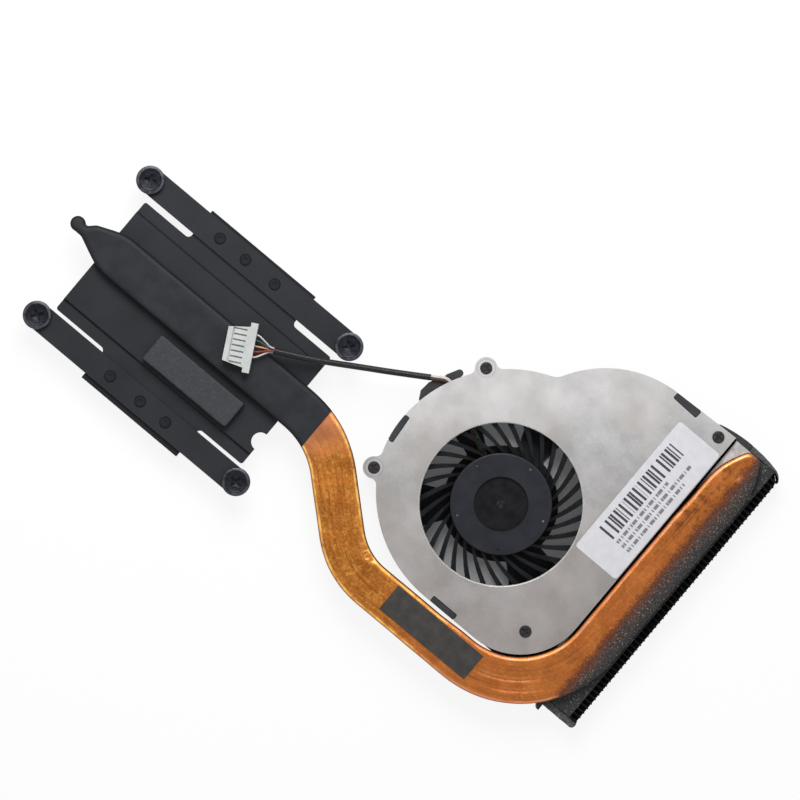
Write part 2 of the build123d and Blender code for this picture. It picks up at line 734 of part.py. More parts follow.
def outlet_arms():
    """Two arms that run past the outlet and hold the ends of the fin stack, the lower with a hook."""
    upper_y = fin_y1 + fit
    lower_y = (fin_y0 - fit - outlet_arm_t, fin_y0 - fit)
    inner_x = cover_x1 - cover_lip
    plan = end_band(*arm_upper_x) + span(arm_lower_x, lower_y)
    plan += span((arm_upper_x[0], inner_x), (upper_y - wall_t, upper_y + band_start))
    plan += span((arm_lower_x[0], inner_x), (lower_y[0], lower_y[1] + wall_t))
    tip = arm_lower_x[1]
    plan += make_face(Polyline(
        (tip - hook_w, lower_y[0] + fit), (tip, lower_y[0] + fit), (tip, lower_y[0] - hook_drop),
        (tip - hook_w / 4, lower_y[0] - hook_drop), close=True))
    return slab(plan, rest_z, housing_low_top)


def fan_housing():
    outline = fan_plan(cover_corner_r)
    square = offset(fan_plan(0), -cover_lip)
    plain = offset(outline, -cover_lip)
    rounded = with_ears(plain, ear_r - cover_lip, ear_blend_r + cover_lip)
    inside = offset(fan_plan(0), -cover_lip - wall_t)
    housing = slab(square, rest_z, housing_low_top) + slab(rounded, rest_z, cover_z)
    housing += cable_exit_guard()
    housing -= slab(inside, floor_top, cover_top)
    for clip in clip_plans(loose):
        housing += slab(clip, rest_z, cover_top) & slab(outline, rest_z, cover_top)
    housing += tongue()
    for place in cover_screw_places:
        housing += Pos(*place) * slab(Circle(boss_r), rest_z, cover_z)
    housing -= outlet_opening()
    housing += outlet_arms()
    for place in cover_screw_places:
        housing -= Pos(*place) * slab(Circle(cover_screw_r + fit), cover_top - pilot_depth, cover_top)
    for start, end in base_inlets:
        housing -= in_fan(slab(base_inlet(start, end), rest_z, floor_top))
    housing += in_fan(ring(tube_r + tube_step, bearing_r + fit, floor_top, stator_z))
    housing += in_fan(ring(tube_r, bearing_r + fit, floor_top, tube_top))
    exit_y = (exit_side - exit_w / 2, exit_side + exit_w / 2)
    channel = span((channel_r, wire_drop_r + 2 * lead_r), exit_y)
    housing -= exit_frame(slab(channel, channel_z, floor_top))
    notch = span((wire_drop_r, guard_r + guard_w), exit_y)
    return housing - exit_frame(slab(notch, exit_sill, cover_z))


# Rotor

def blade_edge(side):
    """One side of a blade's plan, half a blade width from its middle line."""
    root_r = hub_r - blade_root
    radii = (root_r, (root_r + impeller_r) / 2, impeller_r)
    angles = (0, blade_mid_angle, blade_tip_angle)
    turns = [side * degrees(width / 2 / radius) for width, radius in zip(blade_w, radii)]
    points = [polar((0, 0), radius, angle + turn) for radius, angle, turn in zip(radii, angles, turns)]
    return ThreePointArc(*points)


def impeller():
    """Hub with swept blades, tied by a ring at the blade tips."""
    front, back = blade_edge(1), blade_edge(-1)
    plan = make_face([front, back, Line(front @ 0, back @ 0), Line(front @ 1, back @ 1)])
    blade = slab(plan, blade_z, blade_top)
    hub = slab(Circle(hub_r), blade_z, hub_top)
    hub = fillet(hub.edges().group_by(Axis.Z)[-1], hub_edge_r)
    hub -= slab(Circle(hub_r - hub_wall), blade_z, cup_top + fit)
    hub -= slab(Circle(hub_window_r), cup_top, hub_top)
    dimple = slab(Circle(hub_dimple_r), hub_top - hub_dimple_depth, hub_top)
    for i in range(hub_dimples):
        hub -= Pos(*polar((0, 0), hub_r - hub_dimple_in, 90 + i * 360 / hub_dimples)) * dimple
    wheel = hub + [Rot(0, 0, blade_start + i * 360 / blade_count) * blade for i in range(blade_count)]
    return in_fan(wheel + ring(impeller_r, impeller_r - blade_ring_w, blade_z, blade_z + blade_ring_t))


def rotor_cup():
    cup = slab(Circle(cup_r), magnet_z, cup_top)
    cup -= slab(Circle(cup_r - cup_t), magnet_z, cup_under)
    cup += slab(Circle(cup_boss_r), cup_under - cup_boss_t, cup_under)
    return in_fan(cup - slab(Circle(shaft_r + fit), cup_under - cup_boss_t, cup_top))


def rotor_magnet():
    return in_fan(ring(magnet_r, magnet_r - magnet_t, magnet_z, cup_under))


def rotor_shaft():
    low = floor_top + thrust_t + shaft_end_gap
    shaft = slab(Circle(shaft_r), low, cup_top)
    return in_fan(fillet(shaft.edges().group_by(Axis.Z)[0], shaft_r / 2))


# Motor and bearing

def bearing_sleeve():
    return in_fan(ring(bearing_r, shaft_r + bearing_gap, floor_top + thrust_t, bearing_top))


def thrust_pad():
    return in_fan(slab(Circle(bearing_r), floor_top, floor_top + thrust_t))


def stator_plan():
    yoke_r = tube_r + fit + stator_yoke_t
    shoe_mid_r = stator_r - pole_shoe_t / 2
    shoe = SlotArc(CenterArc((0, 0), shoe_mid_r, -pole_shoe_angle / 2, pole_shoe_angle), pole_shoe_t)
    pole = span((yoke_r - stator_yoke_t / 2, shoe_mid_r), (-pole_w / 2, pole_w / 2)) + shoe
    plan = Circle(yoke_r) + [Rot(0, 0, i * 360 / stator_poles) * pole for i in range(stator_poles)]
    return plan - Circle(tube_r + fit)


def stator_core():
    return in_fan(slab(stator_plan(), stator_z, stator_z + stator_h))


def stator_coils():
    low_r = tube_r + fit + stator_yoke_t + coil_t / 2
    high_r = stator_r - pole_shoe_t - coil_t / 2
    across = pole_w / 2 + fit
    coil = block((low_r, high_r), (-across - coil_t, across + coil_t),
                 (stator_z - fit - coil_t, stator_z + stator_h + fit + coil_t))
    coil = fillet(coil.edges().filter_by(Axis.X), coil_t / 2)
    coil -= block((low_r, high_r), (-across, across), (stator_z - fit, stator_z + stator_h + fit))
    turns = [Rot(0, 0, i * 360 / stator_poles) * coil for i in range(stator_poles)]
    return Compound(children=[in_fan(turn) for turn in turns])


def motor_board():
    return in_fan(ring(board_r, tube_r + tube_step + fit, floor_top, floor_top + board_t))


# Cable and connector

def round_radii(points):
    """Largest bend radius that each corner of a route leaves room for."""
    radii = []
    for before, at, after in zip(points, points[1:], points[2:]):
        first, second = Vector(at) - Vector(before), Vector(after) - Vector(at)
        turn = first.get_angle(second)
        radii.append(0.45 * min(first.length, second.length) / tan(radians(turn / 2)))
    return radii


def tube(points, radius):
    """Round solid along straight runs joined by tangent arcs."""
    path = FilletPolyline(*points, radius=round_radii(points))
    return sweep(Plane(origin=path @ 0, z_dir=path % 0) * Circle(radius), path=path)


def cable_sleeve():
    print("sleeve radii", [round(radius, 1) for radius in round_radii(sleeve_route)])
    return tube(sleeve_route, sleeve_r)


def bundle(at, towards, index):
    """Place of one lead in the sleeve's mouth, three leads below two."""
    ahead = (Vector(towards) - Vector(at)).normalized()
    across = Vector(0, 0, 1).cross(ahead).normalized()
    upright = ahead.cross(across)
    shift, rise = bundle_places[index]
    return Vector(at) + across * (shift * lead_pitch) + upright * (rise * lead_pitch)


def plug_frame(piece):
    """Piece modelled with the leads leaving along +X, moved to the connector's place on the pipe."""
    return Pos(*plug_at, pipe_top) * Rot(0, 0, plug_angle) * piece


def plug_point(x, y, z):
    """Point given in the connector's own frame."""
    return (plug_frame(Pos(x, y, z))).position


def plug_lead(index):
    """Lead from the connector to the near end of the sleeve."""
    way = plug_ways[index]
    back = plug_flange_t / 2
    mouth = bundle(sleeve_route[0], sleeve_route[1], index)
    ahead = (Vector(sleeve_route[1]) - Vector(sleeve_route[0])).normalized()
    start = plug_point(back - lead_seat, way, plug_h / 2)
    points = [start, plug_point(back + lead_leave, way, plug_h / 2),
              mouth - ahead * lead_gather, mouth]
    return tube(points, lead_r)


def fan_point(radius, across, z):
    """Point given by its distance from the fan axis towards the cable exit."""
    return (exit_frame(Pos(radius, across, z))).position


def fan_lead(index):
    """Lead from the far end of the sleeve over the sill, down the wall and along the floor channel."""
    place = fan_order[index]
    shift, rise = bundle_places[place]
    mouth = bundle(sleeve_route[-1], 2 * Vector(sleeve_route[-1]) - Vector(sleeve_route[-2]), place)
    ahead = (Vector(sleeve_route[-1]) - Vector(sleeve_route[-2])).normalized()
    entry = Vector(*sleeve_route[-1]) + ahead * lead_run
    within = fan_point(wire_drop_r + lead_straight, exit_side, entry.Z)
    corner = side_corner(sleeve_route[-1], entry, within, shift * lead_pitch)
    run = hypot(corner.X - mouth.X, corner.Y - mouth.Y) / hypot(ahead.X, ahead.Y)
    sill_z = entry.Z + rise * lead_pitch
    row = exit_side + (place - (len(lead_names) - 1) / 2) * lead_pitch
    floor_z = channel_z + lead_r + fit
    points = [mouth, mouth + ahead * run,
              fan_point(wire_drop_r + lead_straight, exit_side - shift * lead_pitch, sill_z),
              fan_point(wire_drop_r, row, sill_z - lead_straight),
              fan_point(wire_drop_r - lead_straight, row, floor_z),
              fan_point(channel_r + lead_r, row, floor_z)]
    return tube(points, lead_r)


def lead(index):
    return Compound(children=[plug_lead(index), fan_lead(index)])


def connector_housing():
    back = plug_flange_t / 2
    front = -back - plug_body_l
    plan = Rectangle(plug_flange_t, plug_flange_w)
    plan += make_face(Polyline(
        (-back, plug_root_w / 2), (front, plug_body_w / 2), (front, -plug_body_w / 2),
        (-back, -plug_root_w / 2), close=True))
    body = slab(plan, 0, plug_h)
    comb_x = (front + plug_lip, front + plug_lip + plug_comb_l)
    comb_y = plug_count * plug_pitch / 2
    comb = span((comb_x[0], comb_x[0] + plug_slit_w), (-comb_y, comb_y))
    for i in range(plug_count + 1):
        comb += Pos(0, i * plug_pitch - comb_y) * span(comb_x, (-plug_slit_w / 2, plug_slit_w / 2))
    body -= slab(comb, plug_h - plug_slit_depth, plug_h)
    mouth = block((front, front + plug_mouth_depth), (-plug_mouth_w / 2, plug_mouth_w / 2),
                  (plug_wall, plug_wall + plug_mouth_h))
    for way in mouth_ways:
        body -= Pos(0, way) * mouth
    hole = Plane(origin=(back - lead_seat, 0, plug_h / 2), z_dir=(1, 0, 0)) * Circle(lead_r + fit)
    for way in plug_ways:
        body -= Pos(0, way) * extrude(hole, lead_seat)
    return plug_frame(body)


def connector_contacts():
    front = -plug_flange_t / 2 - plug_body_l
    bar = block((front + plug_wall, front + plug_mouth_depth), (-contact_w / 2, contact_w / 2),
                (plug_wall, plug_wall + contact_t))
    return Compound(children=[plug_frame(Pos(0, way) * bar) for way in plug_ways])


def main():
    os.makedirs("parts", exist_ok=True)
    nodes = {
        "contact_slug": contact_slug(),
        "base_plate": base_plate(),
        "spring_arm_upper": spring_arm(1, rivet_upper_x),
        "spring_arm_lower": spring_arm(-1, rivet_lower_x),
        "arm_rivets": arm_rivets(),
        "captive_screws": captive_screws(),
        "screw_retainers": screw_retainers(),
        "heat_pipe": heat_pipe(),
        "pipe_tape": pipe_tape(),
        "plate_foam": plate_foam(),
        "fin_stack": fin_stack(),
        "outlet_seal_upper": outlet_seal_upper(),
        "outlet_seal_lower": outlet_seal_lower(),
        "fan_cover": fan_cover(),
        "cover_label": cover_label(),
        "cover_screws": cover_screws(),
        "fan_housing": fan_housing(),
        "impeller": impeller(),
        "rotor_cup": rotor_cup(),
        "rotor_magnet": rotor_magnet(),
        "rotor_shaft": rotor_shaft(),
        "bearing_sleeve": bearing_sleeve(),
        "thrust_pad": thrust_pad(),
        "stator_core": stator_core(),
        "stator_coils": stator_coils(),
        "motor_board": motor_board(),
        "cable_sleeve": cable_sleeve(),
        "connector_housing": connector_housing(),
        "connector_contacts": connector_contacts(),
    }
    for index, name in enumerate(lead_names):
        nodes[f"lead_{name}"] = lead(index)
    for name, shape in nodes.items():
        export_step(shape, f"parts/{name}.step")


if __name__ == "__main__":
    main()
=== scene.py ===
# %% Load the frame
from math import cos, pi, radians, sin, tan

import bpy
import numpy as np
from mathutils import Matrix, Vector
from mathutils.kdtree import KDTree


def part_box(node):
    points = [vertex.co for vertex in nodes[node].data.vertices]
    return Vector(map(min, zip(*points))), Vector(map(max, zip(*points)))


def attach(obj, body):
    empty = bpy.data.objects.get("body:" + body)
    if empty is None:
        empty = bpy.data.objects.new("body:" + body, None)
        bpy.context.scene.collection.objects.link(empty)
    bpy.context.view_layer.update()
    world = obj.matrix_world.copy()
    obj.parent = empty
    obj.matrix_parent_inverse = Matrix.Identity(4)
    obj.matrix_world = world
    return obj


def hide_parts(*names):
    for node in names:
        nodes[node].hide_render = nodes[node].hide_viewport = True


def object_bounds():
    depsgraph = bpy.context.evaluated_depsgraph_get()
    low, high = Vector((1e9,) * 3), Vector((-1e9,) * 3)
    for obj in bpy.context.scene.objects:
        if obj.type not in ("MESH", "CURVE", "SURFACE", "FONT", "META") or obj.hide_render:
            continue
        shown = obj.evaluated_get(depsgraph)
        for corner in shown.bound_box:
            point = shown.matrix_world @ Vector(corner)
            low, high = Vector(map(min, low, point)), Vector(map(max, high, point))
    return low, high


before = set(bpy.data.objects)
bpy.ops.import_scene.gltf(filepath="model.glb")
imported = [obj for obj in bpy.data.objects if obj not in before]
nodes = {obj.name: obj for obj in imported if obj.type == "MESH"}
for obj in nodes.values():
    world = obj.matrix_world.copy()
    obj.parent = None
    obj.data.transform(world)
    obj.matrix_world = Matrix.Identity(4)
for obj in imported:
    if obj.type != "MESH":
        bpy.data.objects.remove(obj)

cad_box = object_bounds()

# %% [markdown]
# # A laptop cooling module, dressed for its portrait
# The frame holds the plate, the pipe, the fins and the fan at their real size, in metres, with +Z up.
# Everything below adds what a solid can't show by itself: a cable, soft foam, a pipe with the marks
# of the bender, threads, softened edges, and a finish for every surface.

# %% [markdown]
# ## Helpers for working as by hand
# An operator acts on whatever is selected, so each piece starts with nothing selected. A new mesh has
# its modifiers applied as soon as they are set, and its object sits at the origin when it is finished.

# %% Helpers for objects
MM = 0.001


def mm(*values):
    """Lengths in millimetres as a list of lengths in metres."""
    return [value * MM for value in values]


def fresh_start():
    """Go back to object mode with nothing selected."""
    if bpy.context.object and bpy.context.object.mode == "EDIT":
        bpy.ops.object.mode_set(mode="OBJECT")
    bpy.ops.object.select_all(action="DESELECT")


def take(piece):
    """Make one piece the selected and active one."""
    fresh_start()
    piece.select_set(True)
    bpy.context.view_layer.objects.active = piece


def new_object(name, data):
    """New object with given data, linked to the scene."""
    made = bpy.data.objects.new(name, data)
    bpy.context.scene.collection.objects.link(made)
    return made


def settle(piece, name):
    """Name a piece and move its place, turn and size into its mesh."""
    take(piece)
    piece.name = name
    piece.data.name = name
    bpy.ops.object.transform_apply(location=True, rotation=True, scale=True)
    return piece


print("one millimetre is", MM)

# %% Helpers for shaping
weld_gap = 0.001 * MM
sharp_angle = radians(40)


def apply_modifier(piece, kind, **settings):
    """Add a modifier, set it and apply it."""
    take(piece)
    modifier = piece.modifiers.new(kind.lower(), kind)
    for key, value in settings.items():
        setattr(modifier, key, value)
    bpy.ops.object.modifier_apply(modifier=modifier.name)


def edit_all(piece):
    """Open a mesh for editing with everything in it selected."""
    take(piece)
    bpy.ops.object.mode_set(mode="EDIT")
    bpy.ops.mesh.select_all(action="SELECT")


def clean_shell(piece):
    """Merge doubles and turn all faces outwards."""
    edit_all(piece)
    bpy.ops.mesh.remove_doubles(threshold=weld_gap)
    bpy.ops.mesh.normals_make_consistent(inside=False)
    bpy.ops.object.mode_set(mode="OBJECT")


def even_faces(piece, size, smoothing):
    """Remesh a piece to even faces of a size in metres, and smooth it."""
    apply_modifier(piece, "REMESH", mode="VOXEL", voxel_size=size)
    apply_modifier(piece, "SMOOTH", factor=smoothing, iterations=2)


def push_lumps(piece, name, lump, level, **settings):
    """Push a surface in and out by cloudy lumps of a (size, strength) in metres."""
    texture = bpy.data.textures.new(name, "CLOUDS")
    texture.noise_scale, strength = lump
    texture.noise_depth = 2
    apply_modifier(piece, "DISPLACE", texture=texture, strength=strength, mid_level=level,
                   texture_coords="LOCAL", **settings)


def report(piece):
    """Print a piece's name, faces and size."""
    size = " x ".join(f"{side / MM:.1f}" for side in piece.dimensions)
    print(f"{piece.name}: {len(piece.data.polygons)} faces, {size} mm")


print("points closer than", weld_gap, "m are merged")

# %% [markdown]
# ## The camera
# The photograph looks straight down on the part, which lies turned by 40 degrees in the picture. A
# long lens from far above shows almost no perspective, so lengths stay true all over the frame.

# %% Camera straight above
picture_turn = radians(40)
picture_width = 177.8 * MM
picture_middle = Vector(mm(45.1, 17.8, 3.5))
camera_height = 0.9

lens = bpy.data.cameras.new("camera")
camera = new_object("camera", lens)
camera.location = picture_middle + Vector((0, 0, camera_height))
camera.rotation_euler = (0, 0, picture_turn)
lens.lens = lens.sensor_width * camera_height / picture_width
lens.clip_start = 0.01
bpy.context.scene.camera = camera
print(f"camera: {lens.lens:.0f} mm lens, {camera_height} m above the part")

# %% [markdown]
# ## The fan cable
# Five thin leads run in a black sleeve from the fan to the connector, which lies on the pipe. The
# sleeve is one smooth curve through the air: its points are the route's corners, and a curve of
# order 3 rounds them. Blender adds the radius of its points to a curve's box, so the tube's radius
# sits on the points and the bevel is 1. The leads fan out at both ends, where the frame has them.

# %% Cable sleeve
sleeve_route = ((47.1, 26.05, 2.8), (40.4, 21.8, 3.0), (34.0, 17.95, 3.8), (28.0, 14.25, 4.85),
                (22.4, 11.05, 5.75), (16.6, 8.2, 6.35))
sleeve_r = 0.7 * MM


def sleeve_curve(name, route, radius):
    """Round cord along a route of points in millimetres."""
    curve = bpy.data.curves.new(name, "CURVE")
    curve.dimensions = "3D"
    spline = curve.splines.new("NURBS")
    spline.points.add(len(route) - 1)
    for point, place in zip(spline.points, route):
        point.co = (*mm(*place), 1)
        point.radius = radius
    spline.order_u = 3
    spline.use_endpoint_u = True
    spline.resolution_u = 16
    curve.bevel_depth = 1.0
    curve.bevel_resolution = 6
    curve.use_fill_caps = True
    return new_object(name, curve)


sleeve = sleeve_curve("fan_cable_sleeve", sleeve_route, sleeve_r)
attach(sleeve, "module")
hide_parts("cable_sleeve")

# %% [markdown]
# ## Foam pad and foam strips
# A foam pad on the plate and two strips at the ends of the fins press against the laptop's case.
# Foam is never a sharp block. The pad starts as a cube of the node's size with rounded edges, and
# the strips, which are cut to shape, as merged copies of the frame's solids. Each is remeshed to
# small even faces and then pushed in and out a little by two sizes of lumps. The underside stays
# flat where it is glued on.

# %% Starting shapes
foam_round = 0.45 * MM


def foam_block(name, node):
    """Block of a node's size with rounded edges."""
    low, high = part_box(node)
    fresh_start()
    bpy.ops.mesh.primitive_cube_add(size=1, location=(low + high) / 2)
    piece = bpy.context.object
    piece.scale = high - low
    settle(piece, name)
    apply_modifier(piece, "BEVEL", width=foam_round, segments=3, limit_method="ANGLE")
    return piece


def node_copy(name, node):
    """Merged copy of a frame node, to be worked into a finished piece."""
    piece = settle(new_object(name, nodes[node].data.copy()), name)
    clean_shell(piece)
    return piece


foam_starts = {"plate_foam": foam_block("plate_foam_pad", "plate_foam")}
for end in ("upper", "lower"):
    foam_starts[f"outlet_seal_{end}"] = node_copy(f"fin_foam_{end}", f"outlet_seal_{end}")
print("foam pieces started:", len(foam_starts))

# %% Foam pieces
foam_face = 0.22 * MM
foam_lump = (2.6 * MM, 0.13 * MM)
foam_cell = (0.5 * MM, 0.14 * MM)
foam_level = 0.62


def foam_piece(piece, node):
    """Work a block into soft foam in the place of a node, flat where it is glued on."""
    even_faces(piece, foam_face, 0.5)
    for lump in (foam_lump, foam_cell):
        push_lumps(piece, piece.name, lump, foam_level)
    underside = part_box(node)[0].z
    for vertex in piece.data.vertices:
        vertex.co.z = max(vertex.co.z, underside)
    clean_shell(piece)
    bpy.ops.object.shade_smooth()
    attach(piece, "module")
    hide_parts(node)
    report(piece)
    return piece


foam_pad, *foam_strips = [foam_piece(piece, node) for node, piece in foam_starts.items()]

# %% [markdown]
# ## Tape on the pipe
# A strip of dark cloth tape is stuck on the pipe below the fan. It starts as a grid of the node's
# size. A Solidify modifier gives it its thickness, a Bevel its soft edge, and a Displace a slight
# waviness.

# %% Tape strip
tape_thickness = 0.22 * MM
tape_edge = 0.05 * MM
tape_wave = (3.0 * MM, 0.10 * MM)
tape_level = 0.35

low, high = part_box("pipe_tape")
fresh_start()
bpy.ops.mesh.primitive_grid_add(x_subdivisions=96, y_subdivisions=28, size=1,
                                location=((low.x + high.x) / 2, (low.y + high.y) / 2, low.z))
tape = bpy.context.object
tape.scale = (high.x - low.x, high.y - low.y, 1)
settle(tape, "pipe_tape_strip")
apply_modifier(tape, "SOLIDIFY", thickness=tape_thickness, offset=1)
apply_modifier(tape, "BEVEL", width=tape_edge, segments=2, limit_method="ANGLE")
push_lumps(tape, "tape_wave", tape_wave, tape_level, direction="Z")
clean_shell(tape)
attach(tape, "module")
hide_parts("pipe_tape")
report(tape)

# %% [markdown]
# ## The heat pipe, as the bender leaves it
# The real pipe is a round copper tube, pressed flat and bent over a former. Its top is never quite
# flat, and a bend carries fine creases. First comes the pipe's middle line with its bends rounded:
# it tells how far along the pipe a point lies and how far beside the line.

# %% Way along the pipe
pipe_corners = ((-34.9, 1.85), (37.55, 1.85), (59.6, -18.0), (113.6, -18.0), (113.6, 59.0))
pipe_bends = (22.5, 18.0, 22.0)
bend_steps = 60
way_step = 0.2


def rounded_line(corners, radii, step):
    """Points in even steps along a line whose corners are rounded."""
    corners = [np.array(corner) for corner in corners]
    stops = [corners[0]]
    for before, at, after, radius in zip(corners, corners[1:], corners[2:], radii):
        into = (at - before) / np.linalg.norm(at - before)
        out = (after - at) / np.linalg.norm(after - at)
        turn = np.arccos(into @ out)
        middle = at + (out - into) / np.linalg.norm(out - into) * radius / cos(turn / 2)
        first = at - into * radius * tan(turn / 2) - middle
        last = at + out * radius * tan(turn / 2) - middle
        for share in np.linspace(0, 1, bend_steps):
            arm = sin((1 - share) * turn) * first + sin(share * turn) * last
            stops.append(middle + arm / sin(turn))
    stops = np.array([*stops, corners[-1]])
    lengths = np.append(0, np.cumsum(np.linalg.norm(np.diff(stops, axis=0), axis=1)))
    marks = np.arange(0, lengths[-1], step)
    return np.stack([np.interp(marks, lengths, stops[:, axis]) for axis in (0, 1)], axis=1)


pipe_line = rounded_line(pipe_corners, pipe_bends, way_step)


def pipe_way(points):
    """How far along the pipe and to its left each point lies, in millimetres, and which way left is."""
    ahead = np.gradient(pipe_line, axis=0) / way_step
    tree = KDTree(len(pipe_line))
    for number, (x, y) in enumerate(pipe_line):
        tree.insert((x, y, 0), number)
    tree.balance()
    nearest = np.array([tree.find((x, y, 0))[1] for x, y in points[:, :2]])
    beside = points[:, :2] - pipe_line[nearest]
    along = nearest * way_step + (beside * ahead[nearest]).sum(axis=1)
    left = np.stack([-ahead[nearest, 1], ahead[nearest, 0]], axis=1)
    across = (beside * left).sum(axis=1)
    return along, across, left


print(f"pipe line: {len(pipe_line) * way_step:.1f} mm long")

# %% [markdown]
# The pipe itself is a copy of the frame's solid, merged and remeshed to even faces, and then worked
# like clay: gentle lumps all over, creases that follow the bends, a few dents, and a slight bulge on
# the side of the fan, where the bender has pushed the copper together. The way of each vertex stays
# in the mesh as an attribute, so that the streaks of the finish can follow the bends.

# %% Marks of the bender
# Dents: x, y, radius and depth. Creases: place across, width, depth, start and end along.
pipe_dents = ((61.9, -13.5, 0.65, 0.24), (63.3, -13.4, 0.5, 0.16), (60.3, -12.7, 0.5, 0.18),
              (58.8, -11.8, 0.5, 0.12), (103.0, -7.6, 0.8, 0.18), (101.4, -9.0, 0.6, 0.14),
              (113.4, 53.2, 1.2, 0.25))
pipe_creases = ((-0.6, 0.45, 0.10, 73, 96), (0.5, 0.35, 0.08, 72, 92), (3.4, 0.5, 0.06, 76, 100),
                (0.3, 0.4, 0.16, 133, 155), (-2.1, 0.4, 0.14, 137, 155),
                (-3.6, 0.4, 0.08, 138, 158), (2.9, 0.6, 0.06, 165, 205))
mark_fade = 6.0
bulge, bulge_side, bulge_start, bulge_end = 0.3, 3, 124, 206


def stretch(along, start, end):
    """One along a stretch of the pipe, fading to zero at its ends."""
    return np.clip(np.minimum(along - start, end - along) / mark_fade, 0, 1)


def pressed(points, along, across):
    """Depth that the bender and handling have pressed into each point, all in millimetres."""
    depth = np.zeros(len(points))
    for x, y, radius, deep in pipe_dents:
        depth += deep * np.exp(-((points[:, 0] - x) ** 2 + (points[:, 1] - y) ** 2) / radius ** 2)
    for place, width, deep, start, end in pipe_creases:
        depth += deep * np.exp(-((across - place) / width) ** 2) * stretch(along, start, end)
    return depth


def bulged(along, across):
    """Distance that the inner side of the bends has been pushed out."""
    return bulge * stretch(along, bulge_start, bulge_end) * np.clip(across - bulge_side, 0, 1)


print(f"{len(pipe_dents)} dents and {len(pipe_creases)} creases")

# %% Heat pipe
pipe_face = 0.3 * MM
pipe_lump = (6.0 * MM, 0.09 * MM)
pipe_level = 0.55
press_reach = 0.5

pipe = node_copy("formed_heat_pipe", "heat_pipe")
even_faces(pipe, pipe_face, 0.4)
push_lumps(pipe, "pipe_lumps", pipe_lump, pipe_level)
points = np.empty((len(pipe.data.vertices), 3))
pipe.data.vertices.foreach_get("co", points.ravel())
points /= MM
pipe_low, pipe_high = (corner.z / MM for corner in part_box("heat_pipe"))
along, across, left = pipe_way(points)
upper_half = np.clip((points[:, 2] - (pipe_low + pipe_high) / 2) / press_reach, 0, 1)
points[:, 2] -= upper_half * pressed(points, along, across)
points[:, :2] += left * bulged(along, across)[:, None]
points[:, 2] = np.maximum(points[:, 2], pipe_low)
pipe.data.vertices.foreach_set("co", (points * MM).ravel())
way = pipe.data.attributes.new("pipe_way", "FLOAT_VECTOR", "POINT")
way.data.foreach_set("vector", (np.stack([along, across, 0 * along], axis=1) * MM).ravel())
take(pipe)
bpy.ops.object.shade_smooth()
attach(pipe, "module")
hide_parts("heat_pipe")
report(pipe)

# %% [markdown]
# ## Captive screws
# Four cross-head screws stay in the spring arms when the part is taken out. One is made and copied.
# It is turned as on a lathe: a disc at the tip is extruded and scaled from one radius and height to
# the next. A Boolean cuts the cross, and a Screw modifier winds a small triangle into the thread.

# %% Lathe
def turned(name, profile, sides):
    """Round piece about Z, extruded and scaled from one (radius, height) point to the next."""
    fresh_start()
    (radius, height), *later = profile
    bpy.ops.mesh.primitive_circle_add(vertices=sides, radius=radius * MM, fill_type="NGON",
                                      location=(0, 0, height * MM))
    piece = settle(bpy.context.object, name)
    edit_all(piece)
    for next_radius, next_height in later:
        bpy.ops.mesh.extrude_region_move(
            TRANSFORM_OT_translate={"value": (0, 0, (next_height - height) * MM)})
        bpy.ops.transform.resize(value=(next_radius / radius, next_radius / radius, 1),
                                 center_override=(0, 0, next_height * MM))
        radius, height = next_radius, next_height
    bpy.ops.object.mode_set(mode="OBJECT")
    clean_shell(piece)
    return piece


print("lathe ready")

# %% Cross and thread
thread_root = 0.05
thread_steps = 20


def cut_cross(piece, size, turn, top):
    """Cut a cross slot into the top of a round piece with a Boolean."""
    length, width, depth = size
    bars = []
    for angle in (turn, turn + pi / 2):
        fresh_start()
        bpy.ops.mesh.primitive_cube_add(size=1, location=(0, 0, top * MM), rotation=(0, 0, angle))
        bpy.context.object.scale = (length * MM, width * MM, 2 * depth * MM)
        bars.append(settle(bpy.context.object, "cross_bar"))
    for bar in bars:
        apply_modifier(piece, "BOOLEAN", operation="DIFFERENCE", object=bar, solver="EXACT")
        bpy.data.objects.remove(bar)


def thread(name, core_r, top_r, pitch, low, high):
    """Helical ridge with a small triangular section, from one height to another."""
    turns = (high - low) / pitch
    steps = round(thread_steps * turns)
    fresh_start()
    bpy.ops.mesh.primitive_circle_add(vertices=3, radius=0.5 * pitch * MM, fill_type="NOTHING",
                                      rotation=(pi / 2, pi / 2, 0), location=(0, 0, 0))
    ridge = settle(bpy.context.object, name)
    reach = max(vertex.co.x for vertex in ridge.data.vertices)
    for vertex in ridge.data.vertices:
        at_top = vertex.co.x > reach - weld_gap
        vertex.co.x = (top_r if at_top else core_r - thread_root) * MM
        vertex.co.z += low * MM
    apply_modifier(ridge, "SCREW", angle=2 * pi * turns, screw_offset=turns * pitch * MM,
                   steps=steps, render_steps=steps, iterations=1)
    edit_all(ridge)
    bpy.ops.mesh.fill_holes(sides=3)
    bpy.ops.mesh.normals_make_consistent(inside=False)
    bpy.ops.object.mode_set(mode="OBJECT")
    return ridge


print("thread of", thread_steps, "steps a turn")

